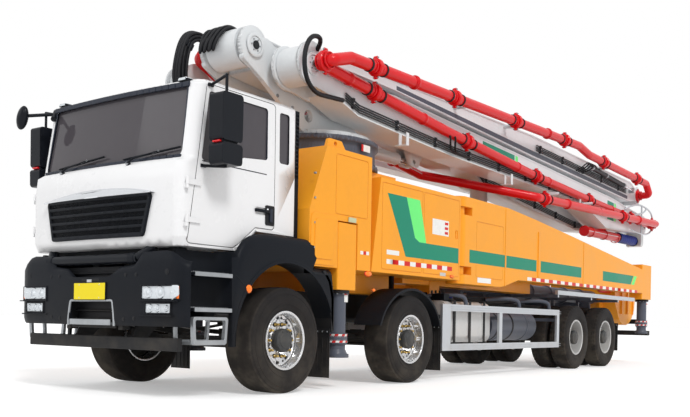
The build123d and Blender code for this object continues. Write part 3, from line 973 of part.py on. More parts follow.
with BuildPart() as boom_2:
    box_section([(-4340, 3540), (-3050, 3600), (1050, 3440), (4850, 3290), (6800, 3120), (6800, 2780),
                 (6450, 2740), (4550, 2650), (3300, 2990), (290, 3045), (-1520, 3070), (-3830, 3180),
                 (-4340, 3340)], LANE_L0, LANE_L1)
    rod_x(LANE_L0, LANE_L1, J12_YZ, BOSS_R)
    rod_x(LANE_L0 - 10, LANE_L1 + 10, J12_YZ, PIN_R + 10 + PIN_FIT, mode=Mode.SUBTRACT)
    for x0, x1 in ((LANE_L0, LANE_L0 + FORK_PLATE), (LANE_L1 - FORK_PLATE, LANE_L1)):
        rod_x(x0, x1, J23_YZ, FORK_R)
        profile_x([(-4800, 3370), (-4300, 3300), (-4300, 3550), (-4600, 3800)], x0, x1)
    rod_x(LANE_L0, LANE_L1, J23_YZ, PIN_R)
    rod_between((620, 3900, 2560), (620, 5900, 2590), 90)
    for y, z in ((3900, 2560), (4900, 2575)):
        rod_between((620, y, z), (620, y + 45, z), 102)
    rod_between((620, 5900, 2590), (620, 6300, 2596), 50)
finish(boom_2, "boom_2")

with BuildPart() as boom_3:
    box_section([(-4340, 3660), (-4340, 3790), (1050, 3850), (5900, 3760), (6250, 3650), (6350, 3400),
                 (5800, 3350), (1050, 3495), (-3050, 3655)], LANE_L0, LANE_L1)
    lug0, lug1 = LANE_L0 + FORK_PLATE + 10, LANE_L1 - FORK_PLATE - 10
    rod_x(lug0, lug1, J23_YZ, FORK_R - 30)
    profile_x([(-4620, 3800), (-4300, 3790), (-4300, 3665), (-4550, 3560)], lug0, lug1)
    rod_x(lug0 - 10, lug1 + 10, J23_YZ, PIN_R + PIN_FIT, mode=Mode.SUBTRACT)
    rod_x(LANE_L0, LANE_L1, J34_YZ, BOSS_R)
    rod_x(-LANE_R1, LANE_L0 + 10, J34_YZ, PIN_R + 10)
    rod_x(-LANE_R0 + 10, LANE_L0 + 10, J34_YZ, PIN_R + 40)
finish(boom_3, "boom_3")

with BuildPart() as boom_4:
    box_section([(-4690, 3440), (6350, 3440), (6350, 3340), (6000, 3180), (-4000, 3100), (-4690, 3200)],
                -LANE_R1, -LANE_R0)
    rod_x(-LANE_R1, -LANE_R0, J34_YZ, BOSS_R)
    rod_x(-LANE_R1 - 10, -LANE_R0 + 10, J34_YZ, PIN_R + 10 + PIN_FIT, mode=Mode.SUBTRACT)
    for x0, x1 in ((LANE_R0, LANE_R0 + FORK_PLATE - 5), (LANE_R1 - FORK_PLATE + 5, LANE_R1)):
        rod_x(-x1, -x0, J45_YZ, FORK_R - 20)
        profile_x([(-5150, 3290), (-4650, 3200), (-4650, 3440), (-4950, 3700)], -x1, -x0)
    rod_x(-LANE_R1, -LANE_R0, J45_YZ, PIN_R - 10)
finish(boom_4, "boom_4")

with BuildPart() as boom_5:
    box_section([(-4690, 3570), (-4690, 3860), (0, 3860), (3500, 3760), (3500, 3620), (-4600, 3560)],
                -LANE_R1 + 10, -LANE_R0 - 10)
    lug0, lug1 = LANE_R0 + FORK_PLATE + 5, LANE_R1 - FORK_PLATE - 5
    rod_x(-lug1, -lug0, J45_YZ, FORK_R - 50)
    profile_x([(-4960, 3690), (-4640, 3800), (-4640, 3575), (-4900, 3480)], -lug1, -lug0)
    rod_x(-lug1 - 10, -lug0 + 10, J45_YZ, PIN_R - 10 + PIN_FIT, mode=Mode.SUBTRACT)
finish(boom_5, "boom_5")

# delivery pipes: route, bend, pipe radius, stand of a coupling, side of the boom that carries the brackets,
# brackets (y0, z0, z1) from that side to the pipe
BOOM_1_PIPE = [(-482, *HEAD_YZ), (-400, *HEAD_YZ), (-400, -4300, 3560), (-400, -450, 3080), (PIPE_1_X, 640, 2760),
               (PIPE_1_X, *J12_YZ), (PIPE_1_X - 98, *J12_YZ)]
BOOM_2_PIPE = [(PIPE_1_X - 102, *J12_YZ), (PIPE_2_X, *J12_YZ), (PIPE_2_X, 3950, 3040), (PIPE_2_X, 900, 3170),
               (PIPE_2_X, -1950, 3360), (PIPE_2_X, *J23_YZ), (PIPE_3_X - 92, *J23_YZ)]
BOOM_3_PIPE = [(PIPE_3_X - 88, *J23_YZ), (PIPE_3_X, *J23_YZ), (PIPE_3_X, -4350, 3700), (PIPE_3_X, 2400, 3880),
               (PIPE_3_X, 2900, 3800), (PIPE_3_X, 6100, 3730), (PIPE_3_X, *J34_YZ), (LANE_L1 + 1, *J34_YZ)]
BOOM_4_PIPE = [(-LANE_R1 - 1, *J34_YZ), (PIPE_4_X, *J34_YZ), (PIPE_4_X, 5900, 3330), (PIPE_4_X, -4500, 3330),
               (PIPE_4_X, *J45_YZ), (PIPE_5_X + 82, *J45_YZ)]
BOOM_5_PIPE = [(PIPE_5_X + 78, *J45_YZ), (PIPE_5_X, *J45_YZ), (PIPE_5_X, -4500, 3720), (PIPE_5_X, 3500, 3720)]
BOOM_PIPES = (
    (BOOM_1_PIPE, 79, PIPE_R, COUPLING, -LANE_1 + SET_BACK, -400, ((-3500, 3450, 3480), (-1500, 3262, 3292))),
    (BOOM_2_PIPE, 79, PIPE_R, 9, LANE_L1 - SET_BACK, PIPE_2_X,
     ((-2100, 3350, 3400), (700, 3160, 3210), (3670, 3040, 3090))),
    (BOOM_3_PIPE, 79, PIPE_R, COUPLING, LANE_L1 - SET_BACK, PIPE_3_X,
     ((-1550, 3740, 3790), (0, 3760, 3810), (3890, 3710, 3760))),
    (BOOM_4_PIPE, 67, SMALL_PIPE_R, 7, -LANE_R1 + SET_BACK, PIPE_4_X, ((-3000, 3310, 3360), (3000, 3310, 3360))),
    (BOOM_5_PIPE, 70, SMALL_PIPE_R, COUPLING, -LANE_R1 + 10 + SET_BACK, PIPE_5_X,
     ((-3000, 3700, 3750), (2500, 3700, 3730))),
)
for index, (route, bend, radius, stand, wall_x, pipe_x, brackets) in enumerate(BOOM_PIPES, start=1):
    with BuildPart() as boom_pipe:
        pipe_run(route, bend, radius)
        for end, next_point in ((route[0], route[1]), (route[-1], route[-2])):
            if abs(end[0] - next_point[0]) > bend and radius == PIPE_R:
                way = 1 if next_point[0] > end[0] else -1
                rod_x(end[0], end[0] + 16 * way, (end[1], end[2]), radius + 15)
        for start, end in zip(route, route[1:]):
            run = abs(end[1] - start[1])
            for share in ((0.2, 0.8) if run > 2500 else ()):
                coupling(start, end, share * run, stand, radius)
        for y, z0, z1 in brackets:
            block(wall_x, pipe_x, y, y + 60, z0, z1)
        if index == len(BOOM_PIPES):
            x, y, z = route[-1]
            rod_between((x, y, z), (x, y + END_FLANGE, z), END_FLANGE_R)
            rod_between((x, y, z), (x, y + END_FLANGE + END_SPIGOT, z), END_SPIGOT_R)
    finish(boom_pipe, f"boom_pipe_{index}")
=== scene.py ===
"""Finishes and fine detail of a four-axle concrete pump truck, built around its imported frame.

Metres. +Z is up, the ground is Z = 0, the nose points along -Y and the truck's left is +X.
"""

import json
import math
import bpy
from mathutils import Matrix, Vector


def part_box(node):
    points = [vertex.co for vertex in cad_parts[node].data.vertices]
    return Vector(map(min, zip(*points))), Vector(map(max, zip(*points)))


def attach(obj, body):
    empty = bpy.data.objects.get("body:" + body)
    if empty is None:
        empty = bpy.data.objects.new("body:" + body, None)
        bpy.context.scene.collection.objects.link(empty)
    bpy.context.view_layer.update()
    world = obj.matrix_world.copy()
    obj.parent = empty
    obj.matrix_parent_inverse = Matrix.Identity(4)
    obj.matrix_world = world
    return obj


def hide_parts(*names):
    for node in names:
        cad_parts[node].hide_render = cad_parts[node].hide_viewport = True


bl_info = {
    "name": "Concrete Pump Truck Dressing",
    "version": (1, 0, 0),
    "blender": (4, 5, 0),
    "location": "View3D > Sidebar > Pump Truck",
    "description": "Dresses the frame of a concrete pump truck with its finishes and small parts",
    "category": "Object",
}

import bmesh
import bpy
from bpy.props import FloatProperty, FloatVectorProperty, IntProperty, PointerProperty
from mathutils import Matrix, Vector

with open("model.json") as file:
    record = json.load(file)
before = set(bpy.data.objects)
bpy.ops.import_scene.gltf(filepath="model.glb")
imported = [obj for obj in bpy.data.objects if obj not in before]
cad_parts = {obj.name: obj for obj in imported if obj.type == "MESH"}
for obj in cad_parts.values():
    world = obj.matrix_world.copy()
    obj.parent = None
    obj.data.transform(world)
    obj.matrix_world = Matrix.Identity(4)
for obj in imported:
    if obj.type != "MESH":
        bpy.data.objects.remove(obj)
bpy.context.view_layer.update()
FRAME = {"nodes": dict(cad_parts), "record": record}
SIDES = (("left", 1.0), ("right", -1.0))


def low(node):
    """Lowest corner of a node at rest."""
    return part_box(node)[0]


def high(node):
    """Highest corner of a node at rest."""
    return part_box(node)[1]


def middle(node):
    """Centre of a node's box at rest."""
    return (low(node) + high(node)) / 2


def tint(code):
    """Linear colour of a paint code such as 'F7A62B'."""
    parts = [int(code[i:i + 2], 16) / 255 for i in (0, 2, 4)]
    return tuple(c / 12.92 if c <= 0.04045 else ((c + 0.055) / 1.055) ** 2.4 for c in parts)


# ---- sizes and colours a user may change
def paint_chip(label, code):
    """Colour property with a paint's name and default."""
    return FloatVectorProperty(name=label, description=f"Colour of the {label.lower()}", subtype="COLOR",
                               size=3, min=0.0, max=1.0, default=tint(code))


class PumpTruckColours(bpy.types.PropertyGroup):
    """Paints of the truck"""
    cab: paint_chip("Cab paint", "EFEFF0")
    body: paint_chip("Body paint", "FBA628")
    boom: paint_chip("Boom paint", "DFE2E4")
    steel: paint_chip("Leg and drum paint", "555A66")
    pipe: paint_chip("Pipe paint", "DE0F19")
    band: paint_chip("Dark band", "0B8A6C")
    accent: paint_chip("Light band", "71F580")
    plastic: paint_chip("Cab plastic", "171A20")
    trim: paint_chip("Window trim", "1D2433")
    rubber: paint_chip("Tyre rubber", "232122")
    dust: paint_chip("Road dust", "A89C8A")


class PumpTruckSizes(bpy.types.PropertyGroup):
    """Sizes of the small parts"""
    stud_count: IntProperty(name="Wheel studs", description="Studs on each wheel", default=10, min=6, max=12)
    decal: FloatProperty(name="Decal thickness", description="How far a painted band stands proud",
                         default=0.0012, min=0.0005, max=0.004, unit="LENGTH")
    hose: FloatProperty(name="Hose diameter", description="Outer diameter of the hydraulic hoses",
                        default=0.034, min=0.015, max=0.06, unit="LENGTH")
    tread: FloatProperty(name="Tread depth", description="Depth of the grooves in the tyres",
                         default=0.014, min=0.004, max=0.02, unit="LENGTH")


def colours():
    """Paints as the user set them."""
    return bpy.context.scene.pump_colours


def sizes():
    """Sizes as the user set them."""
    return bpy.context.scene.pump_sizes


# ---- shared shader groups
def feed(tree, slot, value):
    """Give a socket a number or a colour, or link another socket to it."""
    if isinstance(value, (int, float)):
        slot.default_value = value
    elif isinstance(value, (tuple, list)):
        slot.default_value = (*value[:3], 1.0)
    else:
        tree.links.new(value, slot)


def new_group(name, inputs, outputs):
    """Empty shader group with named sockets: (label, default) in and (label, kind) out."""
    tree = bpy.data.node_groups.new(name, "ShaderNodeTree")
    for label, value in inputs:
        kind = "NodeSocketColor" if isinstance(value, tuple) else "NodeSocketFloat"
        tree.interface.new_socket(name=label, in_out="INPUT", socket_type=kind).default_value = value
    for label, kind in outputs:
        tree.interface.new_socket(name=label, in_out="OUTPUT", socket_type=kind)
    entry = tree.nodes.new("NodeGroupInput")
    leave = tree.nodes.new("NodeGroupOutput")
    return tree, entry, leave


def math_node(tree, operation, *values, clamp=False):
    """Math node whose inputs are numbers or sockets."""
    node = tree.nodes.new("ShaderNodeMath")
    node.operation = operation
    node.use_clamp = clamp
    for slot, value in zip(node.inputs, values):
        feed(tree, slot, value)
    return node.outputs[0]


def mix_colour(tree, share, first, second, blend="MIX"):
    """Colour mix of two sockets or colours."""
    node = tree.nodes.new("ShaderNodeMix")
    node.data_type = "RGBA"
    node.blend_type = blend
    for slot, value in ((node.inputs[0], share), (node.inputs[6], first), (node.inputs[7], second)):
        feed(tree, slot, value)
    return node.outputs[2]


def map_range(tree, value, from_low, from_high, to_low, to_high, smooth=True):
    """Clamped map of a value."""
    node = tree.nodes.new("ShaderNodeMapRange")
    node.interpolation_type = "SMOOTHSTEP" if smooth else "LINEAR"
    for slot, item in zip(node.inputs, (value, from_low, from_high, to_low, to_high)):
        feed(tree, slot, item)
    return node.outputs[0]


NOISE_ROUGHNESS = 0.55


def noise(tree, vector, scale, detail=3.0):
    """Noise value over a vector."""
    node = tree.nodes.new("ShaderNodeTexNoise")
    node.inputs["Detail"].default_value = detail
    node.inputs["Roughness"].default_value = NOISE_ROUGHNESS
    feed(tree, node.inputs["Scale"], scale)
    tree.links.new(vector, node.inputs["Vector"])
    return node.outputs[0]


def object_place(tree):
    """Object coordinates, which are the truck's own metres on every piece."""
    return tree.nodes.new("ShaderNodeTexCoord").outputs["Object"]


def height_of(tree, place):
    """Height above the ground."""
    node = tree.nodes.new("ShaderNodeSeparateXYZ")
    tree.links.new(place, node.inputs[0])
    return node.outputs[2]


def make_tone_group():
    """Slow variation of a colour, as uneven gloss, fading and handling leave it."""
    tree, entry, leave = new_group(
        "uneven_tone",
        (("Colour", (0.8, 0.8, 0.8, 1.0)), ("Amount", 0.08),
         ("Scale", 1.4)),
        (("Colour", "NodeSocketColor"), ("Tone", "NodeSocketFloat")))
    place = object_place(tree)
    broad = noise(tree, place, entry.outputs["Scale"])
    fine = noise(tree, place, math_node(tree, "MULTIPLY", entry.outputs["Scale"], 14.0), 4.0)
    tone = math_node(tree, "ADD", math_node(tree, "MULTIPLY", broad, 0.7),
                     math_node(tree, "MULTIPLY", fine, 0.3))
    shade = map_range(tree, tone, 0.35, 0.65, 1.0, 0.0)
    share = math_node(tree, "MULTIPLY", shade, entry.outputs["Amount"], clamp=True)
    darker = mix_colour(tree, 1.0, entry.outputs["Colour"], (0.35, 0.35, 0.35), "MULTIPLY")
    tree.links.new(mix_colour(tree, share, entry.outputs["Colour"], darker), leave.inputs["Colour"])
    tree.links.new(tone, leave.inputs["Tone"])
    return tree


def make_dust_group():
    """Road dust that lies low on the truck and thins out with height."""
    tree, entry, leave = new_group(
        "road_dust",
        (("Colour", (0.8, 0.8, 0.8, 1.0)), ("Dust", (0.4, 0.35, 0.3, 1.0)),
         ("Amount", 0.3), ("Fades at", 1.2)),
        (("Colour", "NodeSocketColor"), ("Mask", "NodeSocketFloat")))
    place = object_place(tree)
    height = height_of(tree, place)
    reach = map_range(tree, height, 0.05, entry.outputs["Fades at"], 1.0, 0.0)
    patches = map_range(tree, noise(tree, place, 5.0, 5.0), 0.35, 0.72, 0.25, 1.0)
    mask = math_node(tree, "MULTIPLY", math_node(tree, "MULTIPLY", reach, patches), entry.outputs["Amount"],
                     clamp=True)
    tree.links.new(mix_colour(tree, mask, entry.outputs["Colour"], entry.outputs["Dust"]),
                   leave.inputs["Colour"])
    tree.links.new(mask, leave.inputs["Mask"])
    return tree


EDGE_SAMPLES = 4
EDGE_RADIUS = 0.007


def make_edge_group():
    """Rounded edge light and a mask of the edges where paint wears."""
    tree, entry, leave = new_group(
        "soft_edge", (("Wear", 0.2),),
        (("Normal", "NodeSocketVector"), ("Mask", "NodeSocketFloat")))
    bevel = tree.nodes.new("ShaderNodeBevel")
    bevel.samples = EDGE_SAMPLES
    bevel.inputs["Radius"].default_value = EDGE_RADIUS
    geometry = tree.nodes.new("ShaderNodeNewGeometry")
    facing = tree.nodes.new("ShaderNodeVectorMath")
    facing.operation = "DOT_PRODUCT"
    tree.links.new(bevel.outputs[0], facing.inputs[0])
    tree.links.new(geometry.outputs["True Normal"], facing.inputs[1])
    edge = map_range(tree, facing.outputs["Value"], 0.985, 0.8, 0.0, 1.0)
    chips = map_range(tree, noise(tree, object_place(tree), 38.0, 4.0), 0.48, 0.62, 0.0, 1.0)
    mask = math_node(tree, "MULTIPLY", math_node(tree, "MULTIPLY", edge, chips), entry.outputs["Wear"],
                     clamp=True)
    tree.links.new(bevel.outputs[0], leave.inputs["Normal"])
    tree.links.new(mask, leave.inputs["Mask"])
    return tree


def make_grain_group():
    """Fine surface height: orange peel, cast skin or moulded grain, by scale."""
    tree, entry, leave = new_group(
        "fine_grain", (("Scale", 300.0), ("Broad", 0.3)),
        (("Height", "NodeSocketFloat"), ("Mask", "NodeSocketFloat")))
    place = object_place(tree)
    fine = noise(tree, place, entry.outputs["Scale"], 2.0)
    broad = noise(tree, place, math_node(tree, "MULTIPLY", entry.outputs["Scale"], 0.12), 3.0)
    height = math_node(tree, "ADD", fine, math_node(tree, "MULTIPLY", broad, entry.outputs["Broad"]))
    tree.links.new(height, leave.inputs["Height"])
    tree.links.new(map_range(tree, broad, 0.3, 0.7, 0.0, 1.0), leave.inputs["Mask"])
    return tree


GROUPS = {}


def make_groups():
    """Build each shared group once."""
    GROUPS.update(tone=make_tone_group(), dust=make_dust_group(), edge=make_edge_group(),
                  grain=make_grain_group())


def place_group(tree, key, **values):
    """Shared group in a material; a value is a number, a colour or a socket."""
    node = tree.nodes.new("ShaderNodeGroup")
    node.node_tree = GROUPS[key]
    for label, value in values.items():
        feed(tree, node.inputs[label.replace("_", " ")], value)
    return node


# ---- finishes
FINISHES = {}
BARE_METAL = (0.16, 0.16, 0.17)
METAL_GLOSS = 0.5
COAT_ROUGHNESS = 0.06
GRAIN_STRENGTH = 0.6
GLASS_ROUGHNESS = 0.04
GLASS_IOR = 1.45


def finish(name, colour, rough=0.45, metal=0.0, coat=0.0, tone=0.12, dust=0.25, fades=1.1, wear=0.0,
           grain=0.0, grain_scale=300.0, edges=True, emit=0.0, tone_scale=1.4, gloss=0.22):
    """Surface of one kind: colour with uneven tone, road dust, worn edges and a fine grain."""
    material = bpy.data.materials.new(name)
    material.use_nodes = True
    tree = material.node_tree
    shader = tree.nodes["Principled BSDF"]
    toned = place_group(tree, "tone", Colour=tuple(colour), Amount=tone, Scale=tone_scale)
    surface = toned.outputs["Colour"]
    normal = None
    if edges:
        soft = place_group(tree, "edge", Wear=wear)
        normal = soft.outputs["Normal"]
        if wear:
            surface = mix_colour(tree, soft.outputs["Mask"], surface, BARE_METAL)
    dusted = place_group(tree, "dust", Colour=surface, Dust=tuple(colours().dust), Amount=dust,
                         Fades_at=fades)
    tree.links.new(dusted.outputs["Colour"], shader.inputs["Base Color"])
    rougher = map_range(tree, toned.outputs["Tone"], 0.3, 0.7, max(rough - 0.05, 0.03), rough + 0.07)
    rougher = math_node(tree, "ADD", rougher, math_node(tree, "MULTIPLY", dusted.outputs["Mask"], 0.35),
                        clamp=True)
    tree.links.new(rougher, shader.inputs["Roughness"])
    shader.inputs["Metallic"].default_value = metal
    shader.inputs["Coat Weight"].default_value = coat
    shader.inputs["Specular IOR Level"].default_value = METAL_GLOSS if metal else gloss
    shader.inputs["Coat Roughness"].default_value = COAT_ROUGHNESS
    if emit:
        shader.inputs["Emission Color"].default_value = (*colour[:3], 1.0)
        shader.inputs["Emission Strength"].default_value = emit
    if grain:
        texture = place_group(tree, "grain", Scale=grain_scale, Broad=0.4)
        bump = tree.nodes.new("ShaderNodeBump")
        bump.inputs["Strength"].default_value = GRAIN_STRENGTH
        bump.inputs["Distance"].default_value = grain
        tree.links.new(texture.outputs["Height"], bump.inputs["Height"])
        if normal is not None:
            tree.links.new(normal, bump.inputs["Normal"])
        normal = bump.outputs["Normal"]
    if normal is not None:
        tree.links.new(normal, shader.inputs["Normal"])
    FINISHES[name] = material
    return shader


def glass_finish(name, colour, clear):
    """Tinted glass, with a faint film of dust."""
    shader = finish(name, colour, GLASS_ROUGHNESS, tone=0.1, dust=0.12, fades=3.0, edges=False,
                    tone_scale=0.8)
    shader.inputs["Transmission Weight"].default_value = clear
    shader.inputs["IOR"].default_value = GLASS_IOR


def make_finishes():
    """Make every finish by its name."""
    c = colours()
    make_groups()
    finish("cab_white", c.cab, 0.28, coat=0.25, tone=0.03, dust=0.06, fades=1.9, grain=0.00015,
           grain_scale=420)
    finish("body_orange", c.body, 0.36, coat=0.05, tone=0.07, dust=0.04, fades=1.5, wear=0.15, grain=0.0002)
    finish("boom_white", c.boom, 0.34, coat=0.15, tone=0.08, dust=0.0, wear=0.08, grain=0.0002)
    finish("steel_grey", c.steel, 0.42, coat=0.05, tone=0.14, dust=0.1, wear=0.2, grain=0.0003)
    finish("pipe_red", c.pipe, 0.32, coat=0.12, tone=0.08, dust=0.0, wear=0.08, grain=0.0002)
    finish("black_plastic", c.plastic, 0.42, gloss=0.09, tone=0.25, dust=0.05, fades=1.3, grain=0.0005,
           grain_scale=520)
    finish("mirror_black", c.plastic, 0.3, gloss=0.12, coat=0.03, tone=0.2, dust=0.0, grain=0.0002)
    finish("window_trim", c.trim, 0.3, coat=0.2, tone=0.15, dust=0.0)
    finish("tyre_rubber", c.rubber, 0.68, gloss=0.12, tone=0.3, dust=0.10, fades=1.25, grain=0.0008,
           grain_scale=260,
           edges=False, tone_scale=3.0)
    finish("tread_rubber", c.rubber, 0.8, gloss=0.1, tone=0.3, dust=0.2, fades=1.4, grain=0.0015,
           grain_scale=170,
           edges=False, tone_scale=4.0)
    finish("rim_alloy", tint("DDDEE0"), 0.2, metal=0.85, tone=0.2, dust=0.25, grain=0.0002, tone_scale=5.0)
    finish("rim_silver", tint("CFCFCE"), 0.36, metal=0.25, tone=0.2, dust=0.3, grain=0.0003, tone_scale=5.0)
    finish("hub_dark", tint("33373B"), 0.5, metal=0.4, tone=0.35, dust=0.3, grain=0.0006)
    finish("stud_gold", tint("B99A55"), 0.34, metal=0.8, tone=0.25, dust=0.15)
    finish("frame_steel", tint("202226"), 0.5, gloss=0.12, tone=0.3, dust=0.12, fades=1.5, wear=0.2,
           grain=0.0004)
    finish("engine_metal", tint("53565A"), 0.55, metal=0.3, tone=0.35, dust=0.35, fades=1.6, grain=0.001,
           grain_scale=160)
    finish("axle_iron", tint("1F2124"), 0.55, tone=0.3, dust=0.2, fades=1.2, grain=0.0012, grain_scale=120)
    finish("aluminium", tint("C6CACF"), 0.34, metal=0.75, tone=0.12, dust=0.2, fades=1.4, grain=0.0002)
    finish("chrome", tint("D9DCE0"), 0.1, metal=0.95, tone=0.06, dust=0.05, edges=False)
    finish("galvanised", tint("A8ACB0"), 0.45, metal=0.7, tone=0.3, dust=0.15, grain=0.0003, tone_scale=6.0)
    finish("band_dark", c.band, 0.38, coat=0.0, tone=0.08, dust=0.1, edges=False)
    finish("band_light", c.accent, 0.38, coat=0.0, tone=0.06, dust=0.1, edges=False)
    finish("tape_red", tint("D81F1E"), 0.3, tone=0.1, dust=0.15, edges=False)
    finish("tape_white", tint("F2F2EE"), 0.3, tone=0.06, dust=0.15, edges=False)
    finish("plate_pale", tint("C9CDA8"), 0.35, tone=0.08, dust=0.1, edges=False)
    finish("plate_yellow", tint("F5DE1F"), 0.35, tone=0.05, dust=0.1, edges=False)
    finish("hose_rubber", tint("1B1C20"), 0.55, tone=0.3, dust=0.1, grain=0.0006, edges=False)
    finish("lamp_lens", tint("DDE3E8"), 0.08, metal=0.1, tone=0.05, dust=0.1, edges=False)
    finish("lamp_amber", tint("FF7A0F"), 0.2, coat=0.5, tone=0.08, dust=0.05, edges=False, emit=0.15)
    finish("lamp_red", tint("D4141C"), 0.2, coat=0.5, tone=0.08, dust=0.05, edges=False, emit=0.1)
    finish("seat_cloth", tint("4A4C52"), 0.85, tone=0.2, dust=0.0, grain=0.0012, grain_scale=420)
    finish("rope_blue", tint("1D2F8F"), 0.5, tone=0.15, dust=0.05)
    glass_finish("cab_glass", tint("5A565B"), 0.25)


# ---- mesh helpers
EDGE_STEPS = 2
SHARP_EDGE = math.radians(40)


def done(mesh, name, slots, body, smooth=35.0, bevel=0.0, weigh=False):
    """Turn a bmesh into a named piece with its finishes, riding on a body.

    weigh is for a copy of a carried node: its faces stay as they point, and their normals are weighted."""
    if not weigh:
        bmesh.ops.remove_doubles(mesh, verts=mesh.verts, dist=1e-6)
        bmesh.ops.recalc_face_normals(mesh, faces=mesh.faces)
    data = bpy.data.meshes.new(name)
    mesh.to_mesh(data)
    mesh.free()
    for key in (slots if isinstance(slots, (list, tuple)) else [slots]):
        data.materials.append(FINISHES[key])
    data.shade_smooth()
    data.set_sharp_from_angle(angle=math.radians(smooth))
    piece = bpy.data.objects.new(name, data)
    bpy.context.scene.collection.objects.link(piece)
    if bevel:
        edge = piece.modifiers.new("edge", "BEVEL")
        edge.width = bevel
        edge.segments = EDGE_STEPS
        edge.limit_method = "ANGLE"
        edge.angle_limit = SHARP_EDGE
    if weigh:
        flat = piece.modifiers.new("normals", "WEIGHTED_NORMAL")
        flat.keep_sharp = True
    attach(piece, body)
    return piece


def paint_around(verts, index):
    """Give the faces that meet at some vertices a material index."""
    for vert in verts:
        for face in vert.link_faces:
            face.material_index = index


def add_block(mesh, start, end, index=0):
    """Block between two corners."""
    start, end = Vector(start), Vector(end)
    size = end - start
    grow = Matrix.Diagonal((abs(size.x), abs(size.y), abs(size.z), 1.0))
    made = bmesh.ops.create_cube(mesh, size=1.0, matrix=Matrix.Translation((start + end) / 2) @ grow)
    paint_around(made["verts"], index)


def along(start, end):
    """Matrix that lays +Z from start to end, centred between them, and the distance between them."""
    start, end = Vector(start), Vector(end)
    way = end - start
    turn = way.to_track_quat("Z", "Y").to_matrix().to_4x4()
    return Matrix.Translation((start + end) / 2) @ turn, way.length


def add_rod(mesh, start, end, radius, index=0, segments=24, tip=None):
    """Round bar between two points, or a cone with another radius at its tip."""
    place, length = along(start, end)
    made = bmesh.ops.create_cone(mesh, cap_ends=True, segments=segments, radius1=radius,
                                 radius2=radius if tip is None else tip, depth=length, matrix=place)
    paint_around(made["verts"], index)


def add_lathe(mesh, outline, centre, axis, index=0, steps=48):
    """Closed outline of (radius, distance along the axis) turned about an axis."""
    turn = Vector(axis).to_track_quat("Z", "Y").to_matrix().to_4x4()
    place = Matrix.Translation(Vector(centre)) @ turn
    ring = [mesh.verts.new(place @ Vector((radius, 0.0, reach))) for radius, reach in outline]
    edges = [mesh.edges.new((ring[i], ring[(i + 1) % len(ring)])) for i in range(len(ring))]
    bmesh.ops.spin(mesh, geom=ring + edges, cent=centre, axis=place.to_3x3() @ Vector((0, 0, 1)),
                   angle=math.tau, steps=steps, use_merge=True)
    fresh = {f for e in edges for f in e.link_faces}
    grown = set(fresh)
    while fresh:
        fresh = {g for f in fresh for e in f.edges for g in e.link_faces} - grown
        grown |= fresh
    for face in grown:
        face.material_index = index


def add_ring(mesh, inner, outer, start, end, centre, axis, index=0, steps=48):
    """Plain ring between two radii and two distances along an axis."""
    add_lathe(mesh, [(inner, start), (outer, start), (outer, end), (inner, end)], centre, axis, index, steps)


def add_plate(mesh, outline, at, thick, index=0):
    """Flat plate: outline of (y, z) at the place `at` along X, raised by `thick`."""
    rim = [mesh.verts.new((at, y, z)) for y, z in outline]
    raised = bmesh.ops.extrude_face_region(mesh, geom=[mesh.faces.new(rim)])
    moved = [g for g in raised["geom"] if isinstance(g, bmesh.types.BMVert)]
    bmesh.ops.translate(mesh, verts=moved, vec=(thick, 0, 0))
    paint_around(rim + moved, index)


def arc(centre, radius, start, end, steps=8):
    """Points on an arc, in degrees."""
    return [(centre[0] + radius * math.cos(math.radians(start + (end - start) * i / steps)),
             centre[1] + radius * math.sin(math.radians(start + (end - start) * i / steps)))
            for i in range(steps + 1)]


def around(centre, radius, count, shift=0.0):
    """Places spread evenly round a centre, by its first two numbers."""
    for k in range(count):
        turn = math.tau * (k + shift) / count
        yield centre[0] + radius * math.cos(turn), centre[1] + radius * math.sin(turn)


def hose(name, routes, radius, finish_key, body):
    """Hoses or bent bars through points, each on one smooth line, joined in one piece."""
    mesh = bmesh.new()
    for route in routes:
        line = bpy.data.curves.new(name, "CURVE")
        line.dimensions = "3D"
        line.resolution_u = 6
        line.bevel_depth = radius
        line.bevel_resolution = 3
        line.use_fill_caps = True
        spline = line.splines.new("NURBS")
        spline.points.add(len(route) - 1)
        for point, spot in zip(spline.points, route):
            point.co = (*spot, 1.0)
        spline.order_u = 3
        spline.use_endpoint_u = True
        holder = bpy.data.objects.new(name, line)
        data = bpy.data.meshes.new_from_object(holder)
        mesh.from_mesh(data)
        bpy.data.objects.remove(holder)
        bpy.data.curves.remove(line)
        bpy.data.meshes.remove(data)
    done(mesh, name, finish_key, body, smooth=60.0)


# ---- carried nodes with more than one finish
NODE_BODY = {node: body for body, nodes in FRAME["record"]["behaviour"]["bodies"].items() for node in nodes}


def recut(node, name, keys, choose=None, smooth=32.0, ease=None, bevel=0.0):
    """Visual copy of a node whose faces take their finish by place.

    choose(centre, normal) gives the index of the finish; without it all faces take the first.

    With ease = (chooser of edges, width, segments) those sharp edges are rounded first."""
    mesh = bmesh.new()
    mesh.from_mesh(FRAME["nodes"][node].data)
    bmesh.ops.remove_doubles(mesh, verts=mesh.verts, dist=1e-5)
    if ease or bevel:
        bmesh.ops.dissolve_limit(mesh, angle_limit=math.radians(0.8), verts=mesh.verts, edges=mesh.edges)
    if ease:
        chosen, width, segments = ease
        edges = [edge for edge in mesh.edges
                 if len(edge.link_faces) == 2 and edge.calc_face_angle(0.0) > 0.5 and chosen(edge)]
        bmesh.ops.bevel(mesh, geom=edges, offset=width, offset_type="OFFSET", segments=segments, profile=0.5,
                        affect="EDGES", clamp_overlap=True)
    mesh.normal_update()
    picks = [choose(face.calc_center_median(), face.normal) if choose else 0 for face in mesh.faces]
    for face, pick in zip(mesh.faces, picks):
        face.material_index = pick
    piece = done(mesh, name, keys, NODE_BODY[node], smooth=smooth, bevel=bevel, weigh=True)
    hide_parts(node)


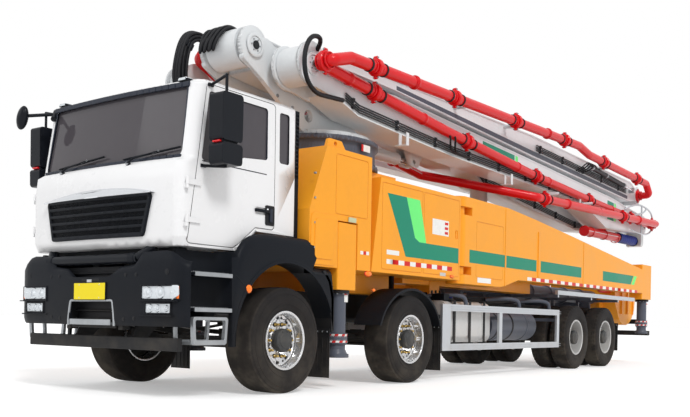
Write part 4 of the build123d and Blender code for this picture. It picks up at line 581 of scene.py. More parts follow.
# ---- places taken from the frame
DOOR_PROUD = 0.008
ROOF_CROWN = 0.018
WAIST_RISE = 0.76
GUARD_INSET = 0.005
NOSE_Y = low("cab_shell").y
CAB_X = high("cab_trim").x + DOOR_PROUD
CAB_FLOOR = low("cab_shell").z
CAB_ROOF = high("cab_shell").z - ROOF_CROWN
WAIST = CAB_FLOOR + WAIST_RISE
BODY_X = high("guards").x + GUARD_INSET
AXLES = tuple(middle(f"rim_{axle}_left").y for axle in (1, 2, 3, 4))


NOSE_BOW = 0.045
NOSE_SHOULDER = 0.11


def bow(x, setback=0.0):
    """Face of the cab's bowed nose at a distance from the centre line."""
    return NOSE_Y + setback + NOSE_BOW * min(abs(x) / (CAB_X - NOSE_SHOULDER), 1.0) ** 2


FACE_DEPTH = 0.02


def panel(node):
    """Place on a node's outer side by its shares: (0, 0) is low at the front, (1, 1) high at the rear."""
    corners = [v.co for v in FRAME["nodes"][node].data.vertices]
    face = max(abs(p.x) for p in corners) - FACE_DEPTH
    spots = [p for p in corners if abs(p.x) > face]
    front, rear = min(p.y for p in spots), max(p.y for p in spots)
    floor, top = min(p.z for p in spots), max(p.z for p in spots)
    return lambda y, z: (front + (rear - front) * y, floor + (top - floor) * z)


def stretches(start, end, count):
    """Ends of equal stretches between two places."""
    stops = [start + (end - start) * k / count for k in range(count + 1)]
    return zip(stops, stops[1:])


def evenly(start, end, count):
    """Middles of equal stretches between two places."""
    return [start + (end - start) * (k + 0.5) / count for k in range(count)]


def cut_across(node, y, reach):
    """Lowest and highest corner of a node's section at y, between two distances from the centre line."""
    mesh = bmesh.new()
    mesh.from_mesh(FRAME["nodes"][node].data)
    cut = bmesh.ops.bisect_plane(mesh, geom=mesh.verts[:] + mesh.edges[:] + mesh.faces[:], plane_co=(0, y, 0),
                                 plane_no=(0, 1, 0))
    spots = [v.co.copy() for v in cut["geom_cut"]
             if isinstance(v, bmesh.types.BMVert) and reach[0] <= abs(v.co.x) <= reach[1]]
    mesh.free()
    if not spots:
        return None
    return tuple(Vector([pick(p[i] for p in spots) for i in range(3)]) for pick in (min, max))


# ---- wheels
def tyre_outline(radius, width, bead):
    """Half section of a tyre, from the bead over the wall to the middle of the tread: (radius, reach)."""
    half = width / 2
    rise = radius - bead
    return [(bead, half * 0.74), (bead + rise * 0.05, half * 0.80), (bead + rise * 0.07, half * 0.86),
            (bead + rise * 0.10, half * 0.86), (bead + rise * 0.25, half * 0.955),
            (bead + rise * 0.30, half * 0.972),
            (bead + rise * 0.305, half * 0.985), (bead + rise * 0.325, half * 0.985),
            (bead + rise * 0.33, half * 0.975), (bead + rise * 0.5, half * 1.0),
            (bead + rise * 0.66, half * 0.99),
            (bead + rise * 0.70, half * 0.98), (bead + rise * 0.705, half * 0.992),
            (bead + rise * 0.725, half * 0.99), (bead + rise * 0.73, half * 0.975),
            (bead + rise * 0.86, half * 0.93), (radius - 0.022, half * 0.87), (radius - 0.007, half * 0.82),
            (radius - 0.003, half * 0.76)]


TYRE_STEPS = 168
TYRE_BEAD = 0.2905
TWIN_WIDTH = 0.3


def add_tyre(mesh, centre, radius, width, bead, grooves, lugs):
    """Tyre with grooves round it at the given reaches, and cross grooves every `lugs` steps if not 0."""
    depth = sizes().tread
    wall = tyre_outline(radius, width, bead)
    tread = []
    for reach in sorted(grooves, reverse=True):
        tread += [(0.0, reach + 0.0075), (depth, reach + 0.0055), (depth, reach - 0.0055),
                  (0.0, reach - 0.0075)]
    edge = width / 2 * 0.76
    section = [(r, x, 0.0) for r, x in wall]
    section += [(radius - 0.003 * (x / edge) ** 2, x, d) for d, x in tread]
    section += [(r, -x, 0.0) for r, x in reversed(wall)]
    section += [(bead - 0.001, -width / 2 * 0.6, 0.0), (bead - 0.001, width / 2 * 0.6, 0.0)]
    rings = []
    for step in range(TYRE_STEPS):
        angle = math.tau * step / TYRE_STEPS
        ring = []
        for r, x, deep in section:
            if lugs and not deep and abs(x) > edge * 0.52 and r > radius - 0.03 and step % lugs in (0, 1):
                r -= depth * 0.8
            ring.append(mesh.verts.new((centre[0] + x, centre[1] + r * math.cos(angle),
                                        centre[2] + r * math.sin(angle))))
        rings.append(ring)
    tread_low, tread_high = len(wall) - 3, len(section) - len(wall) + 2
    for first, second in zip(rings, rings[1:] + rings[:1]):
        for k in range(len(section)):
            n = (k + 1) % len(section)
            face = mesh.faces.new((first[k], first[n], second[n], second[k]))
            face.material_index = 1 if tread_low <= k < tread_high else 0


def make_tyres():
    """Tyres on every wheel, twin ones on the driven axles."""
    for axle, node_y in enumerate(AXLES, start=1):
        for side_name, _ in SIDES:
            node = f"tyre_{axle}_{side_name}"
            bottom, top = low(node), high(node)
            radius = (top.z - bottom.z) / 2
            mesh = bmesh.new()
            if axle < 3:
                spans = [((bottom.x + top.x) / 2, top.x - bottom.x)]
                grooves, lugs = (-0.112, -0.066, -0.022, 0.022, 0.066, 0.112), 0
            else:
                spans = [(bottom.x + TWIN_WIDTH / 2, TWIN_WIDTH), (top.x - TWIN_WIDTH / 2, TWIN_WIDTH)]
                grooves, lugs = (-0.078, -0.027, 0.027, 0.078), 4
            for centre_x, width in spans:
                add_tyre(mesh, (centre_x, node_y, bottom.z + radius), radius, width, TYRE_BEAD, grooves, lugs)
            piece = done(mesh, f"{node}_carcass", ("tyre_rubber", "tread_rubber"), NODE_BODY[node],
                         smooth=28.0)
            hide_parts(node)


# washer, stud and rounded end: start and end off the disc, radius, finish, segments and radius at the tip
STUD_PARTS = ((0.002, 0.010, 0.023, 3, 16, None), (0.03, 0.058, 0.0125, 2, 12, None),
              (0.058, 0.066, 0.0125, 2, 12, 0.006))


def make_rims():
    """Rims with their studs, hub caps and valves."""
    count = sizes().stud_count
    for axle, node_y in enumerate(AXLES, start=1):
        for side_name, side in SIDES:
            node = f"rim_{axle}_{side_name}"
            tyre = f"tyre_{axle}_{side_name}"
            centre_z = middle(node).z
            face = (high(node) if side > 0 else low(node)).x
            if axle < 3:
                disc = middle(tyre).x + side * 0.062
                lip = middle(tyre).x + side * 0.1675
            else:
                disc = (low(tyre).x + high(tyre).x) / 2 + side * 0.024
                lip = (high(tyre) if side > 0 else low(tyre)).x - side * 0.025

            def at(radius, angle, x):
                return (x, node_y + radius * math.cos(angle), centre_z + radius * math.sin(angle))

            def choose(centre, normal):
                reach = math.hypot(centre.y - node_y, centre.z - centre_z)
                if reach < 0.113:
                    return 1
                return 2 if abs(reach - 0.167) < 0.018 and abs(centre.x) > abs(disc) + 0.004 else 0

            paint = "rim_alloy" if axle < 3 else "rim_silver"
            recut(node, f"{node}_disc", (paint, "hub_dark", "stud_gold"), choose)
            mesh = bmesh.new()
            add_lathe(mesh, [(0.286, -0.014), (0.298, -0.012), (0.301, -0.003), (0.297, 0.005),
                             (0.288, 0.003),
                             (0.282, -0.006)], (lip, node_y, centre_z), (side, 0, 0), 0, 64)
            add_lathe(mesh, [(0.240, -0.006), (0.262, -0.001), (0.268, 0.020), (0.271, 0.0205),
                             (0.271, -0.008)],
                      (disc, node_y, centre_z), (side, 0, 0), 0, 64)
            for k in range(count * 2):
                angle = math.tau * (k + 0.25) / (count * 2)
                add_rod(mesh, at(0.228, angle, disc - side * 0.001), at(0.228, angle, disc + side * 0.0016),
                        0.0125 if axle < 3 else 0.021, 1, 14)
            for k in range(count):
                angle = math.tau * k / count
                for start, end, radius, key, segments, tip in STUD_PARTS:
                    add_rod(mesh, at(0.167, angle, disc + side * start), at(0.167, angle, disc + side * end),
                            radius,
                            key, segments, tip)
            add_lathe(mesh, [(0.0, 0.006), (0.05, 0.006), (0.058, 0.001), (0.074, 0.001), (0.079, -0.006),
                             (0.112, -0.010), (0.118, -0.02), (0.121, -0.055), (0.0, -0.055)][::-1],
                      (face, node_y, centre_z), (side, 0, 0), 1, 48)
            for k in range(8):
                angle = math.tau * (k + 0.5) / 8
                add_rod(mesh, at(0.096, angle, face - side * 0.012), at(0.096, angle, face - side * 0.002),
                        0.008, 1, 6)
            add_rod(mesh, at(0.225, 1.2, disc), at(0.235, 1.2, disc + side * 0.07), 0.004, 1, 8)
            add_ring(mesh, 0.12, 0.262, -0.05, -0.042, (disc, node_y, centre_z), (side, 0, 0), 3)
            done(mesh, f"{node}_fittings", (paint, "hub_dark", "stud_gold", "axle_iron"), NODE_BODY[node])


class PUMP_OT_wheels(bpy.types.Operator):
    """Make the tyres, rims, hubs and studs"""
    bl_idname = "pump.wheels"
    bl_label = "Wheels"

    def execute(self, context):
        make_tyres()
        make_rims()
        return {"FINISHED"}


# ---- cab front and bumper
BUMPER_X = CAB_X + 0.115
BUMPER_NOSE = NOSE_Y - 0.05
BUMPER_FLOOR = low("front_bumper").z
LAMP_FRAMES = ((0.715, 1.172, 0.902, 1.030), (0.765, 1.085, 0.775, 0.872))
STEP_FRAME = (0.325, 0.665, 0.895)
BUMPER_TOP = ((0.0, 1.115), (0.27, 1.12), (0.40, 1.205), (0.60, 1.225), (0.70, 1.335), (1.0, 1.345),
              (1.10, 1.325), (1.2, 1.25), (1.3, 1.235))


def bumper_top(x):
    """Height of the bumper's top edge."""
    for (x0, z0), (x1, z1) in zip(BUMPER_TOP, BUMPER_TOP[1:]):
        if x0 <= abs(x) <= x1:
            return z0 + (z1 - z0) * (abs(x) - x0) / (x1 - x0)
    return BUMPER_TOP[-1][1]


def bumper_plan():
    """Outer line of the bumper on the left side, from the middle to its rear end: (x, y)."""
    shoulder = BUMPER_X - 0.17
    stops = (0.0, 0.06, 0.13, 0.2, 0.27, 0.325, 0.40, 0.47, 0.54, 0.60, 0.65, 0.70, 0.715, 0.765, 0.84, 0.92,
             1.0)
    line = [(x, BUMPER_NOSE + 0.038 * (x / shoulder) ** 2) for x in stops]
    line += [(shoulder, BUMPER_NOSE + 0.038), (1.085, BUMPER_NOSE + 0.0415), (1.13, BUMPER_NOSE + 0.052),
             (1.172, BUMPER_NOSE + 0.068), (1.205, BUMPER_NOSE + 0.088), (1.225, BUMPER_NOSE + 0.108),
             (BUMPER_X, BUMPER_NOSE + 0.132)]
    return line


def inside_frame(x, z, frame):
    """Whether a place lies in an opening of (inner x, outer x, low z, high z)."""
    return frame[0] - 1e-4 < abs(x) < frame[1] + 1e-4 and frame[2] - 1e-4 < z < frame[3] + 1e-4


def add_bumper_skin(mesh):
    """Moulded skin with its lamp and step openings, turned in along its top and bottom."""
    levels = (0.0, 0.02, 0.06, 0.115, 0.165, 0.212, 0.235, 0.242, 0.30, 0.37, 0.41, 0.455)
    crown = (0.3, 0.6, 0.82, 0.94, 1.0)
    plan = [(-x, y) for x, y in reversed(bumper_plan()[1:])] + bumper_plan()
    columns = []
    for x, y in plan:
        column = []
        for level in levels:
            tuck = 0.018 * max(0.0, 1.0 - level / 0.06) ** 2
            column.append(mesh.verts.new((x * (1.0 - tuck * 0.6), y + tuck, BUMPER_FLOOR + level)))
        shoulder_z = BUMPER_FLOOR + levels[-1]
        for share in crown:
            tuck = 0.035 * max(0.0, (share - 0.6) / 0.4) ** 2
            column.append(mesh.verts.new((x * (1.0 - tuck * 0.5), y + tuck,
                                          shoulder_z + (bumper_top(x) - shoulder_z) * share)))
        columns.append(column)
    frames = [*LAMP_FRAMES, (-1.0, STEP_FRAME[0], STEP_FRAME[1] - 0.02, STEP_FRAME[2] + 0.01)]
    for first, second in zip(columns, columns[1:]):
        for low_a, low_b, up_b, up_a in zip(first, second, second[1:], first[1:]):
            x = (low_a.co.x + up_b.co.x) / 2
            z = (low_a.co.z + up_b.co.z) / 2
            if not any(inside_frame(x, z, frame) for frame in frames):
                mesh.faces.new((low_a, low_b, up_b, up_a))
    bmesh.ops.recalc_face_normals(mesh, faces=mesh.faces)
    bmesh.ops.solidify(mesh, geom=mesh.faces[:], thickness=0.032)


def skin_y(x):
    """Face of the bumper at a distance from the centre line."""
    plan = bumper_plan()
    for (x0, y0), (x1, y1) in zip(plan, plan[1:]):
        if x0 <= abs(x) <= x1:
            return y0 + (y1 - y0) * (abs(x) - x0) / (x1 - x0)
    return plan[-1][1]


def make_bumper():
    """Bumper skin with a dark sheet of painted shade behind it, number plate, step, cross tube and lamps."""
    mesh = bmesh.new()
    add_bumper_skin(mesh)
    for x0, x1, z0, z1 in LAMP_FRAMES:
        for side in (1, -1):
            for a, b in stretches(x0, x1, 6):
                y = max(skin_y(a), skin_y(b))
                for z in (z0, z1):
                    add_block(mesh, (side * a, y - 0.012, z - 0.008), (side * b, y + 0.03, z + 0.008), 0)
            for x in (x0, x1):
                add_block(mesh, (side * (x - 0.008), skin_y(x) - 0.010, z0 - 0.006),
                          (side * (x + 0.008), skin_y(x) + 0.03, z1 + 0.006), 0)
    for side in (1, -1):
        add_block(mesh, (side * 0.70, skin_y(0.9) - 0.022, 0.884), (side * 1.16, skin_y(1.1) + 0.01, 0.894),
                  0)
        add_block(mesh, (side * 0.70, skin_y(0.9) - 0.020, 0.752), (side * 1.12, skin_y(1.1) + 0.01, 0.764),
                  0)
        for x, z in ((0.50, 1.13), (0.64, 1.13), (0.48, 0.72), (0.62, 0.73), (1.03, 1.15)):
            wide = 0.026 if x > 1.0 else 0.017
            add_rod(mesh, (side * x, skin_y(x) - 0.003, z), (side * x, skin_y(x) + 0.004, z), wide, 1, 20)
            add_rod(mesh, (side * x, skin_y(x) - 0.006, z), (side * x, skin_y(x), z), wide * 0.45, 2, 6)
        add_block(mesh, (side * 0.345, BUMPER_NOSE + 0.10, 0.92), (side * 0.43, NOSE_Y + 0.32, 1.04), 2)
        add_block(mesh, (side * 0.36, BUMPER_NOSE + 0.05, 0.62), (side * 0.42, BUMPER_NOSE + 0.14, 1.10), 2)
    # dark sheet behind the step opening and the bumper's top notch: painted shade standing in for the dark
    # cavity behind the bumper
    add_block(mesh, (-0.60, BUMPER_NOSE + 0.14, 0.70), (0.60, BUMPER_NOSE + 0.16, 1.22), 1)
    add_block(mesh, (-0.13, BUMPER_NOSE, 1.078), (0.13, BUMPER_NOSE + 0.02, 1.10), 2)
    add_block(mesh, (-0.045, BUMPER_NOSE - 0.008, 1.066), (0.02, BUMPER_NOSE, 1.092), 3)
    for z in (0.72, 0.80, 1.00, 1.16):
        add_rod(mesh, (-0.62, BUMPER_NOSE + 0.12, z), (0.62, BUMPER_NOSE + 0.12, z), 0.012, 2, 12)
    piece = done(mesh, "front_bumper_skin", ("black_plastic", "hose_rubber", "frame_steel", "aluminium"),
                 "chassis",
                 smooth=40.0, bevel=0.002)
    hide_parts("front_bumper")

    mesh = bmesh.new()
    add_block(mesh, (-0.232, BUMPER_NOSE - 0.014, 0.902), (0.232, BUMPER_NOSE - 0.004, 1.058), 0)
    add_block(mesh, (-0.238, BUMPER_NOSE - 0.010, 0.896), (0.238, BUMPER_NOSE + 0.004, 1.064), 1)
    for x in (-0.15, 0.15):
        for z in (0.92, 1.042):
            add_rod(mesh, (x, BUMPER_NOSE - 0.017, z), (x, BUMPER_NOSE - 0.012, z), 0.006, 2, 10)
    done(mesh, "number_plate", ("plate_yellow", "black_plastic", "chrome"), "chassis", bevel=0.0015)

    y = BUMPER_NOSE + 0.012
    half, floor, top = STEP_FRAME
    bend = [(half + 0.02, floor - 0.01), (half + 0.02, floor + 0.06), (half, top - 0.05), (half - 0.01, top),
            (half - 0.06, top)]
    hose("bumper_step_frame",
         [[(-x, y, z) for x, z in bend] + [(0, y, top)] + [(x, y, z) for x, z in bend[::-1]]],
         0.013, "galvanised", "chassis")
    mesh = bmesh.new()
    add_block(mesh, (-half + 0.02, y - 0.01, floor), (half - 0.02, y + 0.09, floor + 0.022), 0)
    add_block(mesh, (-half + 0.02, y - 0.018, floor - 0.004), (half - 0.02, y - 0.008, floor + 0.05), 0)
    for k in range(26):
        x = -half + 0.04 + k * (2 * half - 0.08) / 25
        add_rod(mesh, (x, y + 0.002, floor + 0.022), (x, y + 0.002, floor + 0.034), 0.008, 0, 6, 0.003)
        add_rod(mesh, (x, y + 0.05, floor + 0.022), (x, y + 0.05, floor + 0.034), 0.008, 0, 6, 0.003)
    add_block(mesh, (-half - 0.01, y + 0.03, floor - 0.03), (half + 0.01, y + 0.10, floor + 0.03), 1)
    done(mesh, "bumper_step", ("galvanised", "frame_steel"), "chassis", bevel=0.001)

    mesh = bmesh.new()
    y, z = BUMPER_NOSE + 0.075, 1.285
    add_rod(mesh, (-0.72, y, z), (0.60, y, z), 0.047, 0, 32)
    for x in (-0.71, 0.53):
        add_rod(mesh, (x - 0.045, y, z), (x + 0.045, y, z), 0.053, 1, 32)
        add_block(mesh, (x - 0.03, y, z - 0.12), (x + 0.03, y + 0.05, z), 1)
    add_rod(mesh, (0.59, y, z), (0.73, y + 0.08, z + 0.11), 0.047, 0, 32)
    add_rod(mesh, (-0.72, y, z), (-0.80, y + 0.08, z + 0.09), 0.047, 0, 32)
    add_block(mesh, (-0.95, y + 0.16, CAB_FLOOR - 0.05), (0.95, y + 0.22, CAB_FLOOR - 0.002), 2)
    for x in (-0.9, 0.9):
        add_block(mesh, (x - 0.06, y + 0.15, 1.22), (x + 0.06, y + 0.26, CAB_FLOOR - 0.002), 2)
    done(mesh, "cab_cross_tube", ("mirror_black", "black_plastic", "frame_steel"), "chassis", bevel=0.002)

    mesh = bmesh.new()
    for side in (1, -1):
        for (x0, x1, z0, z1), rims in ((LAMP_FRAMES[0], ((0.80, 0.052), (0.95, 0.058), (1.09, 0.045))),
                                       (LAMP_FRAMES[1], ((0.83, 0.038), (0.92, 0.036), (1.03, 0.030)))):
            for x, r in rims:
                y = skin_y(x) - 0.001
                add_lathe(mesh, [(r, 0.0), (r - 0.004, -0.004), (r - 0.009, 0.0), (r - 0.004, 0.006)],
                          (side * x, y, (z0 + z1) / 2), (0, 1, 0), 0, 28)
                add_lathe(mesh, [(0.001, 0.0), (r * 0.45, 0.0), (r * 0.3, -0.007), (0.001, -0.009)],
                          (side * x, y, (z0 + z1) / 2), (0, 1, 0), 1, 20)
        add_block(mesh, (side * 1.135, skin_y(1.15) - 0.004, 0.912),
                  (side * 1.165, skin_y(1.15) + 0.01, 1.02), 2)
    done(mesh, "lamp_reflectors", ("chrome", "lamp_lens", "lamp_amber"), "chassis", smooth=50.0)


def make_cab_front():
    """Grille strip and mesh, wipers and screen trim."""
    mesh = bmesh.new()
    steps = 40
    half, base = 0.80, WAIST - 0.275
    for k in range(steps):
        span = [(-half + 2 * half * (k + n) / steps) for n in (0, 1)]
        rows = []
        for x in span:
            rise = 0.078 * (1 - (x / half) ** 2) ** 0.75 + 0.002
            y = bow(x)
            rows.append([(x, y - 0.001, base - 0.004), (x, y - 0.052, base - 0.010),
                         (x, y - 0.060, base - 0.002),
                         (x, y - 0.052, base + rise * 0.35), (x, y - 0.03, base + rise * 0.75),
                         (x, y - 0.001, base + rise)])
        first = [mesh.verts.new(p) for p in rows[0]]
        second = [mesh.verts.new(p) for p in rows[1]]
        for a, b, c, d in zip(first, second, second[1:], first[1:]):
            mesh.faces.new((a, b, c, d))
    done(mesh, "grille_strip", ("chrome",), "chassis", smooth=60.0)

    mesh = bmesh.new()
    base, top = CAB_FLOOR + 0.125, WAIST - 0.30
    for x_step in range(150):
        x = -0.735 + 1.47 * x_step / 149
        z0 = base if abs(x) < 0.66 else base + (abs(x) - 0.66) * 4.0
        add_block(mesh, (x - 0.0013, bow(x) - 0.0135, z0), (x + 0.0013, bow(x) - 0.0125, top), 0)
    for z_step in range(40):
        z = base + (top - base) * (z_step + 0.5) / 40
        reach = 0.66 + (z - base) * 0.25
        for a, b in stretches(-reach, reach, 12):
            y = (bow(a) + bow(b)) / 2
            add_block(mesh, (a, y - 0.0155, z - 0.0012), (b, y - 0.0115, z + 0.0012), 0)
    done(mesh, "grille_mesh", ("mirror_black",), "chassis")

    mesh = bmesh.new()
    for pivot in (-0.62, 0.40):
        z = WAIST + 0.045
        y = bow(pivot, 0.075)
        add_rod(mesh, (pivot, y - 0.005, z - 0.07), (pivot, y - 0.035, z - 0.02), 0.024, 0, 16)
        add_rod(mesh, (pivot, y - 0.035, z - 0.03), (pivot, y - 0.055, z - 0.015), 0.017, 1, 16)
        elbow = (pivot + 0.07, bow(pivot, 0.08) - 0.045, z + 0.02)
        hand = (pivot + 0.36, bow(pivot + 0.36, 0.11) - 0.035, z + 0.075)
        add_rod(mesh, (pivot, y - 0.05, z - 0.02), elbow, 0.011, 0, 10)
        add_rod(mesh, elbow, hand, 0.009, 0, 10, 0.006)
        far = (pivot - 0.12, bow(pivot - 0.12, 0.1) - 0.018, z + 0.035)
        near = (pivot + 0.60, bow(pivot + 0.60, 0.115) - 0.018, z + 0.095)
        add_rod(mesh, far, near, 0.0075, 0, 8)
        add_rod(mesh, (far[0], far[1] + 0.012, far[2] - 0.004), (near[0], near[1] + 0.012, near[2] - 0.004),
                0.005,
                0, 6)
        add_rod(mesh, hand, tuple((a + b) / 2 for a, b in zip(far, near)), 0.008, 1, 8)
    done(mesh, "wipers", ("black_plastic", "galvanised"), "chassis")

    mesh = bmesh.new()
    for side in (1, -1):
        for reach, setback, proud, floor, top in ((1.0, 0.198, 0.012, CAB_ROOF - 0.090, CAB_ROOF - 0.046),
                                                  (1.01, 0.1, 0.014, WAIST + 0.045, WAIST + 0.072)):
            for a, b in stretches(0.0, reach, 12):
                y = (bow(a, setback) + bow(b, setback)) / 2
                add_block(mesh, (side * a, y - proud, floor), (side * b, y + 0.012, top), 0)
        add_rod(mesh, (side * 1.012, bow(1.01, 0.112) - 0.002, WAIST + 0.06),
                (side * 0.980, bow(0.98, 0.206) - 0.002, CAB_ROOF - 0.07), 0.008, 0, 8)
        x = side * 0.90
        y = bow(0.9, 0.215)
        add_block(mesh, (x - 0.055, y - 0.01, CAB_ROOF - 0.030), (x + 0.055, y + 0.07, CAB_ROOF - 0.004), 1)
        add_block(mesh, (x - 0.045, y - 0.018, CAB_ROOF - 0.024), (x + 0.045, y, CAB_ROOF - 0.006), 2)
        add_block(mesh, (x - 0.05, y - 0.006, CAB_ROOF - 0.004), (x + 0.05, y + 0.07, CAB_ROOF + 0.004), 3)
    done(mesh, "screen_trim", ("window_trim", "black_plastic", "lamp_lens", "chrome"), "chassis", bevel=0.002)


def make_cab_fittings():
    """Cab panels and panes, doors, side mirrors and ramp mirror."""
    centre = Vector((0.0, middle("cab_trim").y - 0.1, WAIST + 0.2))

    def choose_shell(spot, normal):
        return 1 if normal.dot(spot - centre) < -0.04 else 0

    recut("cab_shell", "cab_panels", ("cab_white", "black_plastic"), choose_shell)
    recut("cab_glass", "cab_glazing", ("cab_glass", "lamp_lens"), lambda spot, normal: int(spot.z < 1.1))

    def choose_trim(spot, normal):
        return int(spot.y > NOSE_Y + 0.94 and abs(spot.x) < 0.85)

    recut("cab_trim", "cab_inner_trim", ("black_plastic", "seat_cloth"), choose_trim)
    for side_name, side in SIDES:
        def choose_door(spot, normal):
            reach = abs(spot.x)
            if CAB_X - 0.030 < reach < CAB_X - 0.018 and abs(normal.x) > 0.9:
                return 1
            if reach > CAB_X + 0.004 and spot.y > NOSE_Y + 0.5:
                return 2
            if reach > CAB_X + 0.004:
                return 0
            inward = normal.x * side < -0.3
            reveal = abs(normal.x) < 0.3 and spot.z > WAIST + 0.02 and spot.y > NOSE_Y + 0.25
            if reveal and spot.z < CAB_ROOF - 0.1 and spot.y < NOSE_Y + 1.26:
                return 3
            return 2 if inward or (normal.y < -0.9 and reach < CAB_X - 0.02) else 0

        body = f"cab_door_{side_name}"
        recut(f"door_{side_name}", f"door_{side_name}_panel",
              ("cab_white", "cab_glass", "black_plastic", "window_trim"), choose_door)

        def choose_mirror(spot, normal):
            return 1 if normal.y > 0.9 and abs(spot.x) > CAB_X + 0.15 and spot.z < WAIST + 0.62 else 0

        def mirror_edge(edge):
            return all(abs(v.co.x) > CAB_X + 0.145 for v in edge.verts)

        recut(f"mirror_{side_name}", f"mirror_{side_name}_heads", ("mirror_black", "chrome"), choose_mirror,
              40.0,
              (mirror_edge, 0.030, 4))
        mesh = bmesh.new()
        box_low, box_high = low(f"mirror_{side_name}"), high(f"mirror_{side_name}")
        x = (box_low.x + box_high.x) / 2 + side * 0.078
        y = NOSE_Y + 0.36
        add_block(mesh, (x - 0.06, y - 0.10, WAIST + 0.156), (x + 0.06, y + 0.09, WAIST + 0.184), 0)
        add_block(mesh, (x - 0.045, y - 0.128, WAIST + 0.163), (x + 0.045, y - 0.098, WAIST + 0.178), 1)
        for z0, z1 in ((WAIST - 0.02, WAIST + 0.15), (WAIST + 0.20, WAIST + 0.59)):
            add_block(mesh, (x - 0.055, y + 0.128, z0), (x + 0.055, y + 0.134, z1), 2)
        done(mesh, f"mirror_{side_name}_marker", ("mirror_black", "lamp_red", "chrome"), body, bevel=0.004)

        mesh = bmesh.new()
        face = side * (CAB_X + 0.002)
        add_block(mesh, (face, NOSE_Y + 0.30, WAIST + 0.022),
                  (face - side * 0.014, NOSE_Y + 1.18, WAIST + 0.032), 0)
        for z in (CAB_FLOOR + 0.17, CAB_FLOOR + 0.51):
            add_rod(mesh, (side * (CAB_X + 0.024), NOSE_Y + 0.105, z + 0.035),
                    (side * (CAB_X + 0.024), NOSE_Y + 0.105, z + 0.105), 0.017, 1, 16)
        add_rod(mesh, (side * (CAB_X + 0.008), NOSE_Y + 1.20, CAB_FLOOR + 0.44),
                (side * (CAB_X - 0.002), NOSE_Y + 1.20, CAB_FLOOR + 0.44), 0.014, 2, 18)
        recess = []
        for y, z, turn in ((1.185, -0.455, 180), (1.285, -0.455, 270), (1.285, -0.295, 0),
                           (1.185, -0.295, 90)):
            recess += arc((NOSE_Y + y, WAIST + z), 0.02, turn, turn + 90, 4)
        add_plate(mesh, recess, face, side * 0.003, 3)
        add_block(mesh, (face + side * 0.003, NOSE_Y + 1.225, WAIST - 0.44),
                  (face + side * 0.016, NOSE_Y + 1.262, WAIST - 0.31), 0)
        done(mesh, f"door_{side_name}_fittings", ("window_trim", "cab_white", "chrome", "hose_rubber"), body,
             bevel=0.002)

    mesh = bmesh.new()
    x, y, z = -CAB_X - 0.09, NOSE_Y - 0.02, CAB_ROOF - 0.16
    tilt = Matrix.Rotation(math.radians(18), 4, "Y")
    for spot, columns, rows, reach in (((x, y, z), 28, 16, (0.075, 0.05, 0.125)),
                                       ((x + 0.006, y - 0.018, z), 24, 12, (0.058, 0.040, 0.102))):
        bmesh.ops.create_uvsphere(mesh, u_segments=columns, v_segments=rows, radius=1.0,
                                  matrix=Matrix.Translation(spot) @ tilt @ Matrix.Diagonal((*reach, 1.0)))
    add_rod(mesh, (x + 0.03, y + 0.02, z + 0.02), (-CAB_X + 0.09, NOSE_Y + 0.22, z + 0.06), 0.018, 0, 14)
    add_rod(mesh, (-CAB_X + 0.13, NOSE_Y + 0.20, z), (-CAB_X + 0.06, NOSE_Y + 0.28, z + 0.10), 0.03, 0, 14)
    done(mesh, "ramp_mirror", ("mirror_black",), "chassis", smooth=60.0)


class PUMP_OT_cab(bpy.types.Operator):
    """Make the bumper, lamps, grille, screen trim, doors and mirrors"""
    bl_idname = "pump.cab"
    bl_label = "Cab and bumper"

    def execute(self, context):
        make_bumper()
        make_cab_front()
        make_cab_fittings()
        return {"FINISHED"}


# ---- wings, steps, guards and legs
def nearer_than(threshold):
    """Chooser that gives the second finish to faces nearer the centre line than the threshold."""
    return lambda spot, normal: int(abs(spot.x) < threshold)


def add_oval(mesh, spot, side, wide, tall, index, backing):
    """Oval lamp on a flat side, with its backing."""
    x, y, z = spot
    for reach, grow, key in ((0.012, 1.12, backing), (0.026, 1.0, index)):
        made = bmesh.ops.create_uvsphere(mesh, u_segments=20, v_segments=10, radius=1.0, matrix=(
            Matrix.Translation((side * x, y, z)) @ Matrix.Diagonal((reach, wide * grow, tall * grow, 1.0))))
        paint_around(made["verts"], key)


HANGING_STEP_TOP = 0.765
AXLE_HEIGHT = 0.535


# axle counted from 0, distance behind it, top and bottom
MUD_FLAPS = ((0, 0.705, 0.66, 0.13), (1, 0.70, 0.72, 0.13), (3, 0.62, 0.80, 0.28))


